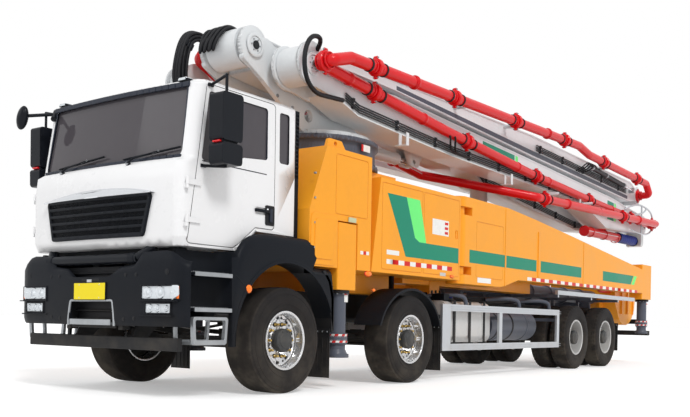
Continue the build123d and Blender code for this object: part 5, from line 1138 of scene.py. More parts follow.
def make_wings():
    """Wings, step treads, markers and mud flaps."""
    def choose(spot, normal):
        return int(spot.y < NOSE_Y + 0.60 and spot.z < HANGING_STEP_TOP)

    def rounded(edge):
        ends = [v.co for v in edge.verts]
        if min(abs(p.x) for p in ends) < BODY_X - 0.012 or max(abs(p.x) for p in ends) > BODY_X + 0.012:
            return False
        mid = (ends[0] + ends[1]) / 2
        over_wheel = mid.z > 1.2 and AXLES[0] - 0.9 < mid.y < AXLES[0] + 0.9
        return over_wheel and (mid.yz - Vector((AXLES[0], AXLE_HEIGHT))).length > 0.86

    recut("fenders", "fender_mouldings", ("black_plastic", "galvanised"), choose, 40.0, (rounded, 0.07, 5))
    mesh = bmesh.new()
    for side in (1, -1):
        for top in (0.830, 1.150):
            start, end = NOSE_Y + 0.125, NOSE_Y + 0.595
            add_block(mesh, (side * 1.01, start, top + 0.001), (side * (BODY_X + 0.001), end, top + 0.007), 0)
            add_block(mesh, (side * (BODY_X - 0.006), start, top - 0.030),
                      (side * (BODY_X + 0.006), end, top + 0.006), 0)
            for k in range(18):
                y = start + 0.018 + k * (end - start - 0.036) / 17
                for x in (1.05, 1.10, 1.15, 1.20):
                    add_rod(mesh, (side * x, y, top + 0.006), (side * x, y, top + 0.014), 0.008, 0, 6, 0.004)
        y = NOSE_Y + 0.12
        for k in range(9):
            spot = y + 0.02 + k * 0.052
            add_rod(mesh, (side * 1.16, spot, 0.532), (side * 1.16, spot, 0.542), 0.008, 0, 6, 0.004)
        add_oval(mesh, (BODY_X + 0.003, low("fenders").y + 0.70, middle("fenders").z), side, 0.042, 0.042, 2,
                 1)
        add_oval(mesh, (BODY_X + 0.004, AXLES[1] - 0.86, 1.10), side, 0.026, 0.020, 2, 1)
    done(mesh, "step_treads", ("galvanised", "axle_iron", "lamp_amber"), "chassis")

    mesh = bmesh.new()
    for side in (1, -1):
        inner, outer = side * 0.90, side * 1.232
        for axle, behind, top, bottom in MUD_FLAPS:
            y = AXLES[axle] + behind
            add_block(mesh, (inner, y, bottom), (outer, y + 0.008, top), 0)
            add_block(mesh, (inner, y - 0.004, top - 0.05), (outer, y + 0.012, top - 0.02), 1)
            for k in range(5):
                x = side * (0.94 + k * 0.065)
                add_block(mesh, (x - 0.006, y - 0.004, bottom + 0.03), (x + 0.006, y, top - 0.1), 0)
                add_rod(mesh, (x, y - 0.008, top - 0.035), (x, y - 0.003, top - 0.035), 0.009, 2, 6)
        guard = [(AXLES[0] + 0.56, 1.265), (AXLES[0] + 0.66, 1.15), (AXLES[0] + 0.715, 0.98),
                 (AXLES[0] + 0.725, 0.62)]
        outer_line = [(y + 0.045, z + 0.01) for y, z in guard]
        add_plate(mesh, guard + outer_line[::-1], side * 0.97, side * 0.27, 0)
    done(mesh, "mud_flaps", ("hose_rubber", "frame_steel", "galvanised"), "chassis", bevel=0.002)


CROWN_FRONT = 0.485
CROWN_TOP = 0.19
CROWN_POWER = 4.5
ARCH_REACH = 0.756
ARCH_RISE = 0.775


def make_wing_crowns():
    """Full rounded shoulders of the front wings, from their outer line in to the wheel arch."""
    mesh = bmesh.new()
    middle_y, middle_z = AXLES[0], middle("rim_1_left").z
    crown_reach = middle_y - (low("fenders").y + CROWN_FRONT)
    crown_rise = CAB_FLOOR + CROWN_TOP - middle_z
    section = ((0.0, -0.045), (0.03, -0.018), (0.08, -0.002), (0.16, 0.008), (0.30, 0.012), (0.55, 0.013),
               (0.80, 0.011),
               (0.93, 0.009), (0.96, 0.015), (1.0, 0.016), (1.0, -0.02))
    for side in (1, -1):
        rows = []
        for step in range(49):
            turn = math.radians(184 - 121 * step / 48)
            way_y, way_z = math.cos(turn), math.sin(turn)
            spread = abs(way_y / crown_reach) ** CROWN_POWER + abs(way_z / crown_rise) ** CROWN_POWER
            outer = spread ** (-1 / CROWN_POWER)
            inner = ((way_y / ARCH_REACH) ** 2 + (way_z / ARCH_RISE) ** 2) ** -0.5
            rows.append([mesh.verts.new((side * (BODY_X + rise),
                                         middle_y + way_y * (outer + (inner - outer) * share),
                                         middle_z + way_z * (outer + (inner - outer) * share)))
                         for share, rise in section])
        for first, second in zip(rows, rows[1:]):
            for a, b, c, d in zip(first, second, second[1:], first[1:]):
                mesh.faces.new((a, b, c, d))
        for row in (rows[0], rows[-1]):
            mesh.faces.new(row)
        seam = rows[17]
        for a, b in zip(seam[1:8], seam[2:9]):
            add_rod(mesh, a.co + Vector((side * 0.0006, 0, 0)), b.co + Vector((side * 0.0006, 0, 0)), 0.0022,
                    1, 6)
    done(mesh, "wing_crowns", ("black_plastic", "hose_rubber"), "chassis", smooth=40.0)


AIR_VESSEL_Y = -0.86


def make_guards():
    """Side guards, tubes and hoses behind them, and tanks."""
    recut("guards", "guard_rails", ("aluminium", "steel_grey"), nearer_than(BODY_X - 0.058), bevel=0.004)
    mesh = bmesh.new()
    rail_low, rail_high = low("guards").y, AXLES[2] - 0.72
    for side in (1, -1):
        face = BODY_X - 0.005
        for z in (0.405, 0.437, 0.925, 0.957):
            add_block(mesh, (side * face, rail_low + 0.215, z),
                      (side * (face + 0.0025), rail_high, z + 0.006), 0)
        for z in (1.262, 1.285):
            add_block(mesh, (side * face, 1.28, z), (side * (face + 0.0025), 5.02, z + 0.004), 0)
    done(mesh, "guard_ribs", "aluminium", "chassis")
    for side_name, side in SIDES:
        routes = []
        for y in (-1.72, -0.05, 1.06):
            routes.append([(side * 0.80, y - 0.42, 1.10), (side * 0.96, y - 0.25, 1.13),
                           (side * 1.14, y - 0.05, 1.12),
                           (side * 1.165, y, 1.04), (side * 1.165, y, 0.92)])
        hose(f"guard_tubes_{side_name}", routes, 0.030, "steel_grey", "chassis")
        lines = [[(side * 0.72, -2.1 + 0.06 * k, 1.14 - 0.025 * k), (side * 0.75, -0.9, 1.12 - 0.03 * k),
                  (side * 0.78, 0.4, 1.15 - 0.02 * k), (side * 0.60, 1.2, 1.12)] for k in range(4)]
        hose(f"under_hoses_{side_name}", lines, 0.016, "hose_rubber", "chassis")

    recut("tanks", "tank_bodies", ("rim_silver", "steel_grey"), lambda spot,
          normal: int(spot.y > AIR_VESSEL_Y),
          bevel=0.004)
    mesh = bmesh.new()
    tank_x = high("tanks").x
    for side in (1, -1):
        for y in (-1.95, -1.52, -1.10):
            add_block(mesh, (side * 0.50, y - 0.03, 1.030), (side * (tank_x + 0.005), y + 0.03, 1.047), 0)
            add_block(mesh, (side * (tank_x - 0.002), y - 0.03, 0.47),
                      (side * (tank_x + 0.006), y + 0.03, 1.04), 0)
        add_rod(mesh, (side * 0.92, -1.75, 1.03), (side * 0.92, -1.75, 1.085), 0.055, 1, 24)
        add_rod(mesh, (side * 0.92, -1.75, 1.08), (side * 0.92, -1.75, 1.105), 0.045, 2, 24)
        for y in (-0.45, 0.05, 0.6):
            add_ring(mesh, 0.231, 0.236, -0.02, 0.02, (side * middle("tanks").x + side * 0.79, y, 0.72),
                     (0, 1, 0),
                     0, 40)
        add_block(mesh, (side * 0.78, -2.12, 1.045), (side * 1.05, -1.98, 1.13), 3)
        for k in range(4):
            add_rod(mesh, (side * (0.82 + 0.06 * k), -2.05, 1.13), (side * (0.82 + 0.06 * k), -2.05, 1.18),
                    0.014, 0, 12)
    done(mesh, "tank_fittings", ("frame_steel", "hub_dark", "rope_blue", "black_plastic"), "chassis",
         bevel=0.002)


def add_chevrons(mesh, centre, radius, low_z, high_z, stripes, keys):
    """Slanted stripes round a leg, in two finishes by turns."""
    for k in range(stripes * 2):
        for part in range(4):
            ring = []
            for share in (0, 1):
                a = math.tau * (k + (part + share) / 4) / (stripes * 2)
                for z, lean in ((low_z, 0.0), (high_z, math.tau * 0.9 / (stripes * 2))):
                    ring.append(mesh.verts.new((centre[0] + radius * math.cos(a + lean),
                                                centre[1] + radius * math.sin(a + lean), z)))
            face = mesh.faces.new((ring[0], ring[2], ring[3], ring[1]))
            face.material_index = keys[k % 2]


def make_legs():
    """Flanges and bands of the outrigger legs."""
    for end, reach_z in (("front", 1.078), ("rear", 1.298)):
        for side_name, side in SIDES:
            jack, arm = f"{end}_jack_{side_name}", f"{end}_arm_{side_name}"
            spot = middle(jack)
            bottom = low(jack).z
            mesh = bmesh.new()
            add_ring(mesh, 0.098, 0.132, -0.035, 0.0, (spot.x, spot.y, reach_z), (0, 0, 1), 0, 40)
            for x, y in around(spot, 0.115, 10, 0.5):
                add_rod(mesh, (x, y, reach_z - 0.046), (x, y, reach_z - 0.034), 0.010, 1, 6)
            done(mesh, f"{end}_leg_flange_{side_name}", ("axle_iron", "galvanised"), NODE_BODY[arm])
            mesh = bmesh.new()
            ring = bottom + 0.21
            add_lathe(mesh, [(0.097, ring - 0.075), (0.112, ring - 0.062), (0.118, ring - 0.05),
                             (0.118, ring + 0.055),
                             (0.097, ring + 0.06)], (spot.x, spot.y, 0), (0, 0, 1), 0, 48)
            add_chevrons(mesh, spot, 0.1192, ring - 0.045, ring + 0.048, 9, (1, 2))
            low_z = bottom + 0.61 if end == "front" else bottom + 0.52
            for x, key, height in ((0.0962, 2, 0.10), (0.0972, 1, 0.022)):
                z = low_z if key == 2 else low_z + 0.078
                add_block(mesh, (spot.x + side * (x - 0.004), spot.y - 0.002, z),
                          (spot.x + side * (x + 0.001), spot.y + 0.062, z + height), key)
            for x, y in around(spot, 0.105, 8):
                add_rod(mesh, (x, y, bottom + 0.028), (x, y, bottom + 0.040), 0.010, 3, 6)
            add_rod(mesh, (spot.x, spot.y, bottom + 0.06), (spot.x, spot.y, ring - 0.06), 0.05, 3, 24, 0.036)
            done(mesh, f"{end}_leg_bands_{side_name}", ("steel_grey", "tape_red", "tape_white", "galvanised"),
                 NODE_BODY[jack])


# ---- body panels and their signs
def add_sign(mesh, outline, side, index, face, layer=1):
    """Thin flat sign on a side face: outline of (y, z)."""
    add_plate(mesh, outline, side * (face + (layer - 1) * sizes().decal), side * sizes().decal, index)


def add_patch(mesh, place, low_share, high_share, side, index, face, layer=1):
    """Upright rectangular sign between two shares of a panel."""
    (y0, z0), (y1, z1) = place(*low_share), place(*high_share)
    add_sign(mesh, [(y0, z0), (y1, z0), (y1, z1), (y0, z1)], side, index, face, layer)


def add_tape(mesh, place, start, step, count, floor, top, side, face):
    """Warning tape in equal lengths, white and red by turns."""
    for k in range(count):
        add_patch(mesh, place, (start + k * step, floor), (start + (k + 1) * step, top), side,
                  2 if k % 2 else 3, face)


DRUM_RING_Z = 2.951
SIGN_SMOOTH = 1.0


def make_bodywork():
    """Body panels, arms and drum with their signs."""
    for node in ("pedestal", "side_cabinets", "hopper", "front_arm_left", "front_arm_right", "rear_arm_left",
                 "rear_arm_right"):
        recut(node, f"{node}_shell", ("body_orange",), bevel=0.005)

    recut("slew_drum", "slew_drum_ring", ("steel_grey", "axle_iron"), lambda spot,
          normal: int(spot.z > DRUM_RING_Z))
    cabinet = high("side_cabinets").x
    place = panel("side_cabinets")
    mesh = bmesh.new()
    for side in (1, -1):
        band = [place(y, z) for y, z in ((0.15, 0.85), (0.35, 0.20), (0.98, 0.20), (0.98, 0.38), (0.50, 0.38),
                                         (0.45, 0.42), (0.35, 0.85))]
        add_sign(mesh, band, side, 0, cabinet)
        accent = [place(y, z) for y, z in ((0.35, 0.85), (0.45, 0.42), (0.50, 0.38), (0.58, 0.38),
                                           (0.50, 0.85))]
        add_sign(mesh, accent, side, 1, cabinet)
        add_tape(mesh, place, 0.15, 1 / 16, 12, 0.10, 0.15, side, cabinet)
        add_patch(mesh, place, (0.65, 0.50), (0.85, 0.68), side, 3, cabinet)
        for k in range(3):
            add_patch(mesh, place, (0.80, 0.52 + 0.055 * k), (0.84, 0.55 + 0.055 * k), side, 2, cabinet, 2)
        add_patch(mesh, place, (0.15, 0.20), (0.28, 0.25), side, 3, cabinet)
        add_patch(mesh, place, (0.75, 0.03), (0.82, 0.07), side, 4, cabinet)
    done(mesh, "cabinet_signs", ("band_dark", "band_light", "tape_red", "tape_white", "rim_silver"),
         "chassis",
         smooth=SIGN_SMOOTH)
    for side_name, side in SIDES:
        arm = f"rear_arm_{side_name}"
        place = panel(arm)
        face = min(high("rear_arm_left").x, BODY_X)
        mesh = bmesh.new()
        for y0, y1 in ((0.02, 0.29), (0.31, 0.52)):
            add_patch(mesh, place, (y0, 0.25), (y1, 0.40), side, 0, face)
        for key, shares in enumerate((((0.65, 0.25), (0.84, 0.25), (0.86, 0.40), (0.65, 0.40)),
                                      ((0.845, 0.25), (0.865, 0.25), (0.885, 0.40), (0.865, 0.40)))):
            add_sign(mesh, [place(y, z) for y, z in shares], side, key, face)
        add_tape(mesh, place, 0.25, 0.02, 32, 0.12, 0.165, side, face)
        add_patch(mesh, place, (0.05, 0.03), (0.10, 0.09), side, 3, face)
        rib_low, rib_high = place(0.296, 0.18), place(0.304, 0.78)
        add_block(mesh, (side * (face - 0.004), *rib_low), (side * (face + 0.012), *rib_high), 4)
        done(mesh, f"arm_signs_{side_name}", ("band_dark", "band_light", "tape_red", "tape_white",
                                              "body_orange"),
             NODE_BODY[arm], smooth=SIGN_SMOOTH)
        mesh = bmesh.new()
        place = panel("pedestal")
        face = high("pedestal").x - 0.016
        add_block(mesh, (side * (face + 0.006), *place(0.60, 0.40)),
                  (side * (face + 0.018), *place(0.72, 0.44)), 0)
        for k, key in ((0, 2), (1, 1), (2, 2)):
            add_block(mesh, (side * (face - 0.002), *place(0.82 + 0.05 * k, 0.14)),
                      (side * (face + 0.002), *place(0.87 + 0.05 * k, 0.17)), key)
        y, z = place(0.97, 0.0)
        add_oval(mesh, (BODY_X - 0.006, y, z - 0.03), side, 0.065, 0.030, 3, 1)
        y, z = panel("side_cabinets")(0.90, 0.035)
        add_oval(mesh, (BODY_X + 0.002, y, z), side, 0.050, 0.020, 3, 1)
        for share in evenly(0.05, 0.85, 4):
            y, z = place(0.07, share)
            add_rod(mesh, (side * (face - 0.01), y, z), (side * (face + 0.014), y, z), 0.012, 4, 6)
        done(mesh, f"pedestal_signs_{side_name}", ("plate_pale", "tape_red", "tape_white", "lamp_amber",
                                                   "galvanised"),
             "chassis")
    mesh = bmesh.new()
    drum_low, drum_high, drum = low("slew_drum"), high("slew_drum"), middle("slew_drum")
    radius = (drum_high.x - drum_low.x) / 2
    for side in (1, -1):
        for k in range(5):
            a = math.radians(-6 + 2.4 * k)
            x, y = side * (radius + 0.002) * math.cos(a), drum.y + (radius + 0.002) * math.sin(a)
            add_block(mesh, (x - 0.004, y - 0.018, drum.z + 0.02), (x + 0.004, y + 0.018, drum.z + 0.10),
                      0 if k else 1)
    done(mesh, "drum_signs", ("tape_white", "tape_red"), NODE_BODY["slew_drum"])


class PUMP_OT_body(bpy.types.Operator):
    """Make the wings, guards, tanks, legs, body panels and their signs"""
    bl_idname = "pump.body"
    bl_label = "Body and legs"

    def execute(self, context):
        make_wings()
        make_wing_crowns()
        make_guards()
        make_legs()
        make_bodywork()
        return {"FINISHED"}


# ---- turret and boom
HEAD = (-5.12, 3.77)
PINS = {"J12": (6.80, 2.95), "J23": (-4.70, 3.59), "J34": (6.35, 3.52), "J45": (-5.05, 3.50)}
LANE_SIDE = high("boom_2").x
PIPE = 0.070
SMALL_PIPE = 0.055
# pipe, the section that carries it, its radius, count of clamps, its lane across and its clamped stretch
CLAMPED_PIPES = (
    ("boom_pipe_1", "boom_1", PIPE, 3, (1.0, 1.2), (0.05, 0.97)),
    ("boom_pipe_2", "boom_2", PIPE, 5, (0.8, 1.02), (0.0, 1.0)),
    ("boom_pipe_3", "boom_3", PIPE, 6, (0.98, 1.2), (0.0, 1.0)),
    ("boom_pipe_4", "boom_4", SMALL_PIPE, 4, (0.9, 1.1), (0.0, 1.0)),
    ("boom_pipe_5", "boom_5", SMALL_PIPE, 4, (1.05, 1.3), (0.0, 1.0)),
)


def pipe_centre(node, y, lane):
    """Middle of a pipe's section, from the carried mesh."""
    cut = cut_across(node, y, lane)
    return (cut[0] + cut[1]) / 2 if cut else None


def add_clamp(mesh, spot, way, radius, straps=True):
    """Pipe clamp: two pipe collars in a bolted shell, with rubber straps either side."""
    shell = [(radius + 0.001, -0.034), (radius + 0.022, -0.034), (radius + 0.036, -0.022),
             (radius + 0.036, 0.022),
             (radius + 0.022, 0.034), (radius + 0.001, 0.034)]
    add_lathe(mesh, shell, spot, way, 0, 28)
    for reach in (-0.066, 0.066):
        add_lathe(mesh, [(radius + 0.001, reach - 0.012), (radius + 0.014, reach - 0.008),
                         (radius + 0.014, reach + 0.008), (radius + 0.001, reach + 0.012)], spot, way, 0, 28)
    for reach in (-0.15, 0.15) if straps else ():
        add_ring(mesh, radius + 0.001, radius + 0.010, reach - 0.014, reach + 0.014, spot, way, 1, 28)
    across = Vector((1, 0, 0)) if abs(way.x) < 0.9 else Vector((0, 1, 0))
    up = way.cross(across).normalized()
    up = up if up.z > 0 else -up
    for turn in (1, -1):
        lug = spot + up * turn * (radius + 0.045)
        add_rod(mesh, lug - across * 0.022, lug + across * 0.022, 0.020, 0, 12)
        add_rod(mesh, lug - across * 0.040, lug + across * 0.040, 0.009, 2, 8)


def make_pipes():
    """Delivery pipes along the boom and their clamps."""
    for node, wall, pipe_x, radius in (("boom_pipe_1", 0.22, 0.40, PIPE), ("boom_pipe_2", 0.81, 0.90, PIPE),
                                       ("boom_pipe_3", 0.81, 1.08, PIPE),
                                       ("boom_pipe_4", 0.93, 1.01, SMALL_PIPE),
                                       ("boom_pipe_5", 0.92, 1.17, SMALL_PIPE)):
        def choose(spot, normal):
            flat = max(abs(normal.x), abs(normal.y), abs(normal.z)) > 0.999
            near_pin = min(abs(spot.y - pin[0]) for pin in (*PINS.values(), HEAD)) < 0.30
            return 1 if flat and not near_pin and wall - 0.02 < abs(spot.x) < pipe_x - radius + 0.01 else 0

        recut(node, f"{node}_run", ("pipe_red", "boom_white"), choose, 40.0)
    meshes = {}
    for node, carrier, radius, count, lane, (first, last) in CLAMPED_PIPES:
        mesh = meshes.setdefault(carrier, bmesh.new())
        start, end = low(node).y, high(node).y
        stretch = (start + (end - start) * first, start + (end - start) * last)
        for y in evenly(*stretch, count):
            before, spot, after = (pipe_centre(node, y + step, lane) for step in (-0.06, 0.0, 0.06))
            if before and spot and after:
                add_clamp(mesh, spot, (after - before).normalized(), radius)
    for x, pin, node in ((0.990, "J23", "boom_2"), (1.00, "J12", "boom_1"), (0.835, "J34", "boom_3")):
        y, z = PINS[pin]
        add_clamp(meshes[node], Vector((x, y, z)), Vector((1, 0, 0)), PIPE + 0.012, False)
    for node, mesh in meshes.items():
        done(mesh, f"{node}_clamps", ("pipe_red", "hose_rubber", "galvanised"), NODE_BODY[node], smooth=40.0)


def lower_edge(points, y):
    """Height of a line of points at y."""
    for (y0, z0), (y1, z1) in zip(points, points[1:]):
        if y0 <= y <= y1:
            return z0 + (z1 - z0) * (y - y0) / (y1 - y0)
    return points[-1][1]


# lower edges of the sections' side plates, and the stretch that carries the hydraulic tubes
TUBE_RUNS = (
    ("boom_1", 0.212, ((-4.95, 3.56), (-0.60, 3.15), (0.25, 3.13), (0.50, 2.985), (4.45, 2.64), (6.45, 2.76)),
     (-4.3, 6.1), 0.06),
    ("boom_2", LANE_SIDE - 0.008, ((-4.34, 3.34), (-3.83, 3.18), (-1.52, 3.07), (0.29, 3.045), (3.30, 2.99)),
     (-4.1, 3.2), 0.045),
    ("boom_3", LANE_SIDE - 0.008, ((-3.05, 3.655), (1.05, 3.495), (5.80, 3.35)), (1.2, 5.6), 0.13),
    ("boom_4", low("boom_4").x + 0.008, ((-4.69, 3.20), (-4.0, 3.10), (6.0, 3.18)), (-4.2, 5.8), 0.06),
)


def make_tubes():
    """Hydraulic tubes along the lower edges of the sections."""
    for node, wall, edge, (start, end), lift in TUBE_RUNS:
        side = 1 if wall > 0 else -1
        mesh = bmesh.new()
        for k in range(4):
            x = wall + side * 0.022
            stops = [y for y, z in edge if start < y < end]
            line = [start, *stops, end]
            for a, b in zip(line, line[1:]):
                add_rod(mesh, (x, a, lower_edge(edge, a) + lift + 0.028 * k),
                        (x, b, lower_edge(edge, b) + lift + 0.028 * k), 0.0095, 0, 10)
        y = start + 0.15
        while y < end:
            z = lower_edge(edge, y) + lift
            add_block(mesh, (wall, y - 0.02, z - 0.02), (wall + side * 0.036, y + 0.02, z + 0.105), 1)
            add_rod(mesh, (wall + side * 0.034, y, z + 0.042), (wall + side * 0.044, y, z + 0.042), 0.010, 2,
                    6)
            y += 0.95
        done(mesh, f"{node}_tubes", ("hub_dark", "hose_rubber", "galvanised"), NODE_BODY[node])


def add_pin_ring(mesh, x, spot, side, radius, keys=(0, 1, 2)):
    """Pin end on a side plate: welded ring, keeper plate and bolts."""
    y, z = spot
    add_lathe(mesh, [(radius * 0.72, 0.0), (radius, 0.0), (radius, 0.012), (radius * 0.94, 0.018),
                     (radius * 0.72, 0.018)], (x, y, z), (side, 0, 0), keys[0], 40)
    add_rod(mesh, (x, y, z), (x + side * 0.010, y, z), radius * 0.70, keys[1], 32)
    add_rod(mesh, (x + side * 0.010, y, z), (x + side * 0.022, y, z), radius * 0.28, keys[2], 24)
    for cy, cz in around(spot, radius * 0.5, 6):
        add_rod(mesh, (x + side * 0.010, cy, cz), (x + side * 0.018, cy, cz), radius * 0.07, keys[2], 6)


# turn about the head's pin in degrees, shift towards the right and rise off the loop's own reach
LOOP_SWEEP = ((52, 0.0, 0.0), (85, 0.0, 0.004), (120, 0.004, 0.012), (152, 0.010, 0.022), (178, 0.030, 0.052),
              (196, 0.060, 0.062), (184, 0.085, 0.038), (150, 0.095, 0.022), (112, 0.098, 0.018),
              (52, 0.095, 0.0))


def make_turret_fittings():
    """Turret, its pipe and pin ends, and the hoses over its head."""
    def choose(spot, normal):
        return 1 if abs(spot.x) < 0.05 and -1.76 < spot.y < -1.46 and spot.z > 3.0 else 0

    recut("turret", "turret_frame", ("boom_white", "chrome"), choose, 35.0)
    recut("turret_pipe", "turret_pipe_run", ("pipe_red",), smooth=40.0)
    mesh = bmesh.new()
    for side in (1, -1):
        if side > 0:
            add_pin_ring(mesh, 0.332, HEAD, side, 0.135)
            add_rod(mesh, (0.345, *HEAD), (0.3555, *HEAD), 0.047, 3)
        for y, z in ((-4.72, 3.30), (-4.45, 3.22), (-4.60, 3.48)):
            add_rod(mesh, (side * 0.318, y, z), (side * 0.330, y, z), 0.022, 2, 6)
    done(mesh, "turret_pin_ends", ("boom_white", "boom_white", "galvanised", "axle_iron"),
         NODE_BODY["turret"],
         smooth=40.0)
    routes = []
    for k in range(9):
        x = -0.500 - 0.010 * k
        reach = 0.165 + 0.030 * (k % 3) + 0.003 * k
        sag = 0.010 * math.sin(k * 2.1)
        y, z = HEAD
        routes.append([(x, y + reach * 0.95, z + reach * 0.55), (x, y + reach * 0.5, z + reach * 1.12),
                       (x - 0.01, y - reach * 0.35, z + reach * 1.22),
                       (x - 0.01 - sag, y - reach * 1.05, z + reach * 0.7),
                       (x - 0.015 - sag, y - reach * 1.38, z - 0.12),
                       (x - 0.02 + sag, y - reach * 1.35, z - 0.38 - sag),
                       (x + 0.05, y - reach * 0.9, z - 0.60 - sag), (x + 0.13, y - 0.02, z - 0.68),
                       (x + 0.19, y + 0.22, z - 0.62)])
    hose("head_hoses", routes, sizes().hose / 2 + 0.003, "hose_rubber", NODE_BODY["turret"])
    loops = []
    for k in range(7):
        x = 0.03 - 0.036 * k
        reach = 0.240 + 0.022 * (k % 2)
        line = []
        for turn, shift, rise in LOOP_SWEEP:
            y, z = math.cos(math.radians(turn)), math.sin(math.radians(turn))
            line.append((max(x - shift * 0.9, -0.235), HEAD[0] + (reach + rise) * y,
                         HEAD[1] + (reach + rise) * z))
        loops.append(line)
    hose("head_loops", loops, sizes().hose / 2, "hose_rubber", NODE_BODY["boom_1"])
    mesh = bmesh.new()
    for k, route in enumerate(routes):
        for n in (3, 5):
            spot = Vector(route[n])
            way = (Vector(route[n + 1]) - Vector(route[n - 1])).normalized()
            spot = spot * 0.5 + (Vector(route[n + 1]) + Vector(route[n - 1])) * 0.25
            add_rod(mesh, spot - way * 0.035, spot + way * 0.035, 0.0235, 0, 14)
    done(mesh, "head_hose_sleeves", "mirror_black", NODE_BODY["turret"])


COVER_X = 0.62


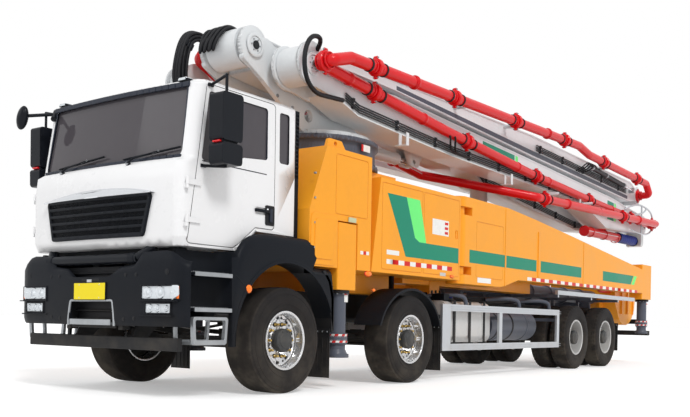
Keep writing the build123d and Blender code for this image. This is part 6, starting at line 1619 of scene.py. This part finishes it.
def make_boom_fittings():
    """Boom sections with their signs, cylinders, hoses and guard, and a grey strip of painted shade along
    boom 3's lower edge.
    """
    def choose_boom_2(spot, normal):
        if spot.z < 2.665 and 3.85 < spot.y < 6.32 and 0.50 < spot.x < 0.74 and abs(normal.x) < 0.999:
            return 1 if spot.y < 5.95 else 2
        return 0

    recut("boom_2", "boom_2_section", ("boom_white", "pipe_red", "chrome"), choose_boom_2, 35.0)
    for node in ("boom_1", "boom_3", "boom_4", "boom_5"):
        recut(node, f"{node}_section", ("boom_white",), smooth=35.0)
    mesh = bmesh.new()
    x = COVER_X
    add_rod(mesh, (x, 5.72, 2.588), (x, 6.74, 2.604), 0.098, 0, 28)
    for k in range(9):
        y = 5.76 + 0.12 * k
        add_lathe(mesh, [(0.098, -0.012), (0.103, 0.0), (0.098, 0.012)], (x, y, 2.588 + 0.0157 * (y - 5.72)),
                  (0, 1, 0), 0, 28)
    for y in (5.715, 6.745):
        add_ring(mesh, 0.095, 0.106, -0.012, 0.012, (x, y, 2.596), (0, 1, 0), 1, 28)
    add_plate(mesh, [(6.78, 2.50), (6.86, 2.48), (6.93, 2.55), (6.93, 2.78), (6.86, 2.86), (6.78, 2.80)],
              0.46, 0.32, 2)
    add_rod(mesh, (x, 6.74, 2.604), (x, 6.80, 2.606), 0.05, 3, 24)
    for y in (4.2, 5.6):
        add_ring(mesh, 0.089, 0.101, -0.02, 0.02, (x, y, 2.565), (0, 1, 0), 4, 28)
    done(mesh, "boom_2_cylinder_cover", ("rope_blue", "hose_rubber", "boom_white", "chrome", "pipe_red"),
         NODE_BODY["boom_2"], smooth=40.0)

    wall = LANE_SIDE - 0.008
    mesh = bmesh.new()
    place = panel("boom_2")
    for start, end, rim in ((0.36, 0.45, 0.12), (0.80, 0.83, 0.10)):
        y0, y1 = place(start, 0)[0], place(end, 0)[0]
        (low_0, high_0), (low_1, high_1) = (cut_across("boom_2", y, (0.4, 0.85)) for y in (y0, y1))
        tall_0, tall_1 = high_0.z - low_0.z, high_1.z - low_1.z
        add_sign(mesh, [(y0, high_0.z - tall_0 * rim), (y1, high_1.z - tall_1 * rim),
                        (y1, low_1.z + tall_1 * 0.45),
                        (y0, low_0.z + tall_0 * 0.45)], 1, 0, wall)
        y2 = y1 + 0.12
        add_sign(mesh, [(y1 + 0.03, high_1.z - tall_1 * rim), (y2, high_1.z - tall_1 * rim - 0.004),
                        (y2, low_1.z + tall_1 * 0.45), (y1 + 0.03, low_1.z + tall_1 * 0.45)], 1, 1, wall)
    for pin, radius in (("J12", 0.12), ("J23", 0.13)):
        add_pin_ring(mesh, LANE_SIDE + 0.001, PINS[pin], 1, radius, (2, 2, 3))
    done(mesh, "boom_2_signs", ("band_dark", "band_light", "boom_white", "galvanised"), NODE_BODY["boom_2"],
         smooth=25.0)

    mesh = bmesh.new()
    # grey strip along boom 3's lower edge: painted shade standing in for the section's shaded underside
    strip = [(-3.0, 3.665), (1.05, 3.505), (5.75, 3.362), (5.75, 3.45), (1.05, 3.60), (-3.0, 3.735)]
    add_sign(mesh, strip, 1, 0, wall)
    add_rod(mesh, (0.875, 3.55, 3.70), (0.875, 5.35, 3.60), 0.045, 1, 24)
    add_rod(mesh, (0.875, 5.35, 3.60), (0.875, 5.85, 3.572), 0.024, 2, 20)
    for y in (3.55, 4.3, 5.3):
        z = 3.70 - 0.1 * (y - 3.55) / 1.8
        add_rod(mesh, (0.875, y, z), (0.875, y + 0.05, z - 0.003), 0.053, 3, 24)
    add_block(mesh, (wall, 3.50, 3.64), (0.90, 3.58, 3.76), 3)
    add_block(mesh, (wall, 5.82, 3.52), (0.90, 5.90, 3.62), 3)
    done(mesh, "boom_3_shade_strip", ("steel_grey", "hub_dark", "chrome", "galvanised"), NODE_BODY["boom_3"])
    hose("boom_3_hoses", [[(0.815, 2.95 + 0.09 * k, 3.55), (0.90 + 0.02 * k, 3.0 + 0.10 * k, 3.60),
                           (0.95, 3.15 + 0.1 * k, 3.72), (0.92, 3.40 + 0.08 * k, 3.74),
                           (0.88, 3.60 + 0.1 * k, 3.68)]
                          for k in range(4)], 0.013, "hose_rubber", NODE_BODY["boom_3"])
    hose("boom_2_hose", [[(0.815, -4.63, 3.76), (0.93, -4.66, 3.86), (0.95, -4.90, 3.84), (0.95, -5.02, 3.62),
                          (0.94, -4.98, 3.36), (0.90, -4.76, 3.24), (0.86, -4.46, 3.27),
                          (0.83, -4.15, 3.30)]],
         0.026, "hose_rubber", NODE_BODY["boom_2"])
    hose("boom_2_small_hoses", [[(0.816, -1.9 + 0.12 * k, 3.40), (0.96 + 0.02 * k, -1.86 + 0.12 * k, 3.34),
                                 (0.92, -1.80 + 0.12 * k, 3.16), (0.85, -1.62 + 0.12 * k, 3.12),
                                 (0.84, -1.2 + 0.12 * k, 3.13)] for k in range(2)], 0.014, "hose_rubber",
         NODE_BODY["boom_2"])
    hose("boom_2_guard", [[(0.81, 5.60, 3.16), (0.93, 5.75, 3.25), (0.965, 6.15, 3.30), (0.965, 6.72, 3.25),
                           (0.965, 6.96, 3.12), (0.965, 6.96, 2.88), (0.955, 6.70, 2.72), (0.93, 6.20, 2.70),
                           (0.81, 6.00, 2.78)],
                          [(0.81, 5.9, 3.02), (0.95, 6.05, 3.10), (0.965, 6.4, 3.16), (0.965, 6.55, 3.27)],
                          [(0.965, 6.22, 3.295), (0.965, 6.22,
                                                  2.71)]], 0.018, "aluminium", NODE_BODY["boom_2"])
    mesh = bmesh.new()
    for y, z in ((-2.9, 3.125), (0.1, 3.04), (2.9, 3.0)):
        for x in (LANE_SIDE - 0.01, LANE_SIDE + 0.10):
            add_block(mesh, (x, y - 0.03, z - 0.13), (x + 0.012, y + 0.03, z + 0.02), 0)
        add_block(mesh, (LANE_SIDE - 0.06, y - 0.03, z - 0.142), (LANE_SIDE + 0.112, y + 0.03, z - 0.13), 0)
    done(mesh, "boom_2_brackets", "boom_white", NODE_BODY["boom_2"], bevel=0.003)


class PUMP_OT_boom(bpy.types.Operator):
    """Make the pipes, clamps, tubes, hoses, pins and signs of the boom"""
    bl_idname = "pump.boom"
    bl_label = "Boom and pipes"

    def execute(self, context):
        make_pipes()
        make_tubes()
        make_turret_fittings()
        make_boom_fittings()
        return {"FINISHED"}


# ---- hopper, deck and running gear
def make_rear():
    """Hopper grate, tail lamps, pump and deck pipe."""
    mesh = bmesh.new()
    floor, back = 1.705, 6.52
    for k in range(17):
        x = -0.62 + 1.24 * k / 16
        add_block(mesh, (x - 0.005, 5.80, floor), (x + 0.005, back, floor + 0.035), 0)
    for y in (5.80, 6.04, 6.28, back):
        add_block(mesh, (-0.65, y - 0.008, floor - 0.004), (0.65, y + 0.008, floor + 0.018), 0)
    for x in (-0.4, 0.4):
        add_rod(mesh, (x - 0.05, 5.775, floor + 0.02), (x + 0.05, 5.775, floor + 0.02), 0.016, 0, 12)
    done(mesh, "hopper_grate", "axle_iron", NODE_BODY["hopper"])
    mesh = bmesh.new()
    rear = high("hopper").y
    for side in (1, -1):
        add_block(mesh, (side * 0.43, rear - 0.10, 0.80), (side * 0.86, rear - 0.055, 0.90), 0)
        for k, key in enumerate((1, 1, 2, 3)):
            x = side * (0.475 + 0.105 * k)
            add_rod(mesh, (x, rear - 0.057, 0.85), (x, rear - 0.045, 0.85), 0.040, key, 24)
            add_ring(mesh, 0.040, 0.045, 0.0, 0.010, (x, rear - 0.057, 0.85), (0, 1, 0), 0, 24)
        for k in range(4):
            y = 5.62 + 0.30 * k
            add_rod(mesh, (side * 0.741, y, 1.735), (side * 0.752, y, 1.735), 0.012, 4, 6)
    add_block(mesh, (-0.86, rear - 0.14, 0.83), (0.86, rear - 0.10, 0.87), 0)
    done(mesh, "tail_lamps", ("black_plastic", "lamp_red", "lamp_amber", "lamp_lens", "galvanised"),
         NODE_BODY["hopper"],
         smooth=40.0)

    recut("pump_unit", "pump_unit_parts", ("steel_grey", "galvanised"), lambda spot,
          normal: int(spot.z > 2.0), 38.0)
    recut("deck_pipe", "deck_pipe_run", ("pipe_red",), smooth=40.0)


def make_running_gear():
    """Propeller shafts and axle struts."""
    mesh = bmesh.new()
    for start, end in (((0, -3.2, 0.56), (0, 0.3, 0.50)), ((0, 0.3, 0.50), (0, AXLES[2] - 0.30, 0.535))):
        add_rod(mesh, start, end, 0.052, 0, 28)
        for spot in (start, end):
            add_ring(mesh, 0.052, 0.085, -0.03, 0.03, spot, (0, 1, 0), 1, 24)
    for side in (1, -1):
        for axle in (0, 1):
            y = AXLES[axle]
            add_rod(mesh, (side * 0.60, y + 0.16, 0.66), (side * 0.60, y + 0.16, 0.95), 0.035, 0, 16)
            add_rod(mesh, (side * 0.60, y + 0.16, 0.90), (side * 0.60, y + 0.16, 1.05), 0.045, 1, 16)
        add_rod(mesh, (side * 0.42, AXLES[0] + 0.24, 0.45), (side * 0.42, AXLES[1] - 0.3, 0.62), 0.028, 1, 14)
    done(mesh, "running_gear", ("axle_iron", "frame_steel"), "chassis")


class PUMP_OT_rear(bpy.types.Operator):
    """Make the hopper's grate, the lamps and the running gear"""
    bl_idname = "pump.rear"
    bl_label = "Hopper and running gear"

    def execute(self, context):
        make_rear()
        make_running_gear()
        return {"FINISHED"}


# ---- operators
NODE_FINISHES = (
    (("chassis_frame",), "frame_steel"),
    (("engine_block",), "engine_metal"),
    (("axle_beams", "knuckle_1_left", "knuckle_1_right", "knuckle_2_left", "knuckle_2_right"), "axle_iron"),
    (("cab_shell", "door_left", "door_right"), "cab_white"),
    (("cab_glass",), "cab_glass"),
    (("cab_trim", "front_bumper", "fenders"), "black_plastic"),
    (("mirror_left", "mirror_right"), "mirror_black"),
    (("guards", "tanks"), "aluminium"),
    (("pedestal", "side_cabinets", "hopper", "front_arm_left", "front_arm_right", "rear_arm_left",
      "rear_arm_right"), "body_orange"),
    (("slew_drum", "front_jack_left", "front_jack_right", "rear_jack_left", "rear_jack_right", "pump_unit"),
     "steel_grey"),
    (("turret", "boom_1", "boom_2", "boom_3", "boom_4", "boom_5"), "boom_white"),
    (("deck_pipe", "turret_pipe", "boom_pipe_1", "boom_pipe_2", "boom_pipe_3", "boom_pipe_4", "boom_pipe_5"),
     "pipe_red"),
)
TYRES = tuple(f"tyre_{axle}_{name}" for axle in (1, 2, 3, 4) for name, side in SIDES)
STEER_RIMS = tuple(f"rim_{axle}_{name}" for axle in (1, 2) for name, side in SIDES)
DRIVE_RIMS = tuple(f"rim_{axle}_{name}" for axle in (3, 4) for name, side in SIDES)


class PUMP_OT_paint(bpy.types.Operator):
    """Give every carried node its finish"""
    bl_idname = "pump.paint"
    bl_label = "Paint the frame"

    def execute(self, context):
        make_finishes()
        chosen = dict.fromkeys(TYRES, "tyre_rubber")
        chosen.update(dict.fromkeys(STEER_RIMS, "rim_alloy"))
        chosen.update(dict.fromkeys(DRIVE_RIMS, "rim_silver"))
        for nodes, key in NODE_FINISHES:
            chosen.update(dict.fromkeys(nodes, key))
        for name, node in FRAME["nodes"].items():
            for slot in node.material_slots:
                slot.material = FINISHES[chosen[name]]
        return {"FINISHED"}


class PUMP_OT_stage(bpy.types.Operator):
    """Set the floor, the lights and the camera"""
    bl_idname = "pump.stage"
    bl_label = "Set the stage"

    def execute(self, context):
        make_floor()
        make_lights()
        make_camera()
        return {"FINISHED"}


FLOOR_REACH = 400.0
FLOOR_COLOUR = (0.86, 0.86, 0.86, 1.0)
FLOOR_GLOW = 0.35
SKY_STRENGTH = 0.62
# name, strength, turn and spread, in degrees
SUNS = (("sun", 1.5, (48.0, 0.0, 62.0), 14.0), ("fill", 0.45, (62.0, 0.0, -28.0), 40.0))
CAMERA_PLACE = (6.903, -12.236, 0.739)
CAMERA_YAW = 36.5
CAMERA_ROLL = 1.07
CAMERA_LENS = 45.5
CAMERA_SHIFT = 0.1635
CAMERA_REACH = 2000.0


def backdrop_share(tree):
    """1 for rays that show the background: to the camera, in gloss and through glass."""
    path = tree.nodes.new("ShaderNodeLightPath")
    share = math_node(tree, "ADD", path.outputs["Is Camera Ray"], path.outputs["Is Glossy Ray"], clamp=True)
    return math_node(tree, "ADD", share, path.outputs["Is Transmission Ray"], clamp=True)


def make_floor():
    """Wide pale floor that keeps the truck's shadow."""
    mesh = bmesh.new()
    bmesh.ops.create_grid(mesh, x_segments=1, y_segments=1, size=FLOOR_REACH)
    data = bpy.data.meshes.new("floor")
    mesh.to_mesh(data)
    mesh.free()
    floor = bpy.data.objects.new("floor", data)
    bpy.context.scene.collection.objects.link(floor)
    material = bpy.data.materials.new("pale_floor")
    material.use_nodes = True
    tree = material.node_tree
    shader = tree.nodes["Principled BSDF"]
    shader.inputs["Base Color"].default_value = FLOOR_COLOUR
    shader.inputs["Roughness"].default_value = 0.9
    shader.inputs["Specular IOR Level"].default_value = 0.1
    glow = tree.nodes.new("ShaderNodeEmission")
    strength = math_node(tree, "MULTIPLY", backdrop_share(tree), FLOOR_GLOW)
    tree.links.new(strength, glow.inputs["Strength"])
    both = tree.nodes.new("ShaderNodeAddShader")
    tree.links.new(shader.outputs[0], both.inputs[0])
    tree.links.new(glow.outputs[0], both.inputs[1])
    tree.links.new(both.outputs[0], tree.nodes["Material Output"].inputs["Surface"])
    data.materials.append(material)


def make_lights():
    """Even sky, a soft sun from the front left and a weak fill from the front right."""
    world = bpy.data.worlds.new("studio")
    bpy.context.scene.world = world
    world.use_nodes = True
    tree = world.node_tree
    background = tree.nodes["Background"]
    background.inputs["Color"].default_value = (1.0, 1.0, 1.0, 1.0)
    strength = map_range(tree, backdrop_share(tree), 0.0, 1.0, SKY_STRENGTH, 1.0, smooth=False)
    tree.links.new(strength, background.inputs["Strength"])
    for name, power, turn, spread in SUNS:
        lamp = bpy.data.lights.new(name, "SUN")
        lamp.energy = power
        lamp.angle = math.radians(spread)
        holder = bpy.data.objects.new(name, lamp)
        holder.rotation_euler = [math.radians(a) for a in turn]
        bpy.context.scene.collection.objects.link(holder)


def make_camera():
    """Camera low off the front left corner, rolled a little, with its view shifted up."""
    lens = bpy.data.cameras.new("camera")
    lens.lens = CAMERA_LENS
    lens.sensor_width = 36.0
    lens.shift_y = CAMERA_SHIFT
    lens.clip_end = CAMERA_REACH
    camera = bpy.data.objects.new("camera", lens)
    yaw = Matrix.Rotation(math.radians(CAMERA_YAW), 4, "Z")
    level = Matrix.Rotation(math.radians(90.0), 4, "X")
    roll = Matrix.Rotation(math.radians(CAMERA_ROLL), 4, "Z")
    camera.matrix_world = Matrix.Translation(CAMERA_PLACE) @ yaw @ level @ roll
    bpy.context.scene.collection.objects.link(camera)
    bpy.context.scene.camera = camera
    bpy.context.scene.view_settings.view_transform = "Standard"


OPERATORS = (PUMP_OT_stage, PUMP_OT_paint, PUMP_OT_wheels, PUMP_OT_cab, PUMP_OT_body, PUMP_OT_boom,
             PUMP_OT_rear)


class PUMP_PT_panel(bpy.types.Panel):
    """Sidebar panel with the truck's colours, sizes and steps"""
    bl_label = "Pump Truck"
    bl_idname = "PUMP_PT_panel"
    bl_space_type = "VIEW_3D"
    bl_region_type = "UI"
    bl_category = "Pump Truck"

    def draw(self, context):
        for group in (context.scene.pump_colours, context.scene.pump_sizes):
            for label in group.bl_rna.properties.keys():
                if label not in {"rna_type", "name"}:
                    self.layout.prop(group, label)
        for operator in OPERATORS:
            self.layout.operator(operator.bl_idname)


CLASSES = (PumpTruckColours, PumpTruckSizes, *OPERATORS, PUMP_PT_panel)


def register():
    for entry in CLASSES:
        bpy.utils.register_class(entry)
    bpy.types.Scene.pump_colours = PointerProperty(type=PumpTruckColours)
    bpy.types.Scene.pump_sizes = PointerProperty(type=PumpTruckSizes)


def unregister():
    del bpy.types.Scene.pump_sizes
    del bpy.types.Scene.pump_colours
    for entry in reversed(CLASSES):
        bpy.utils.unregister_class(entry)


def main():
    register()
    for operator in OPERATORS:
        group, step = operator.bl_idname.split(".")
        getattr(getattr(bpy.ops, group), step)()


if __name__ == "__main__":
    main()
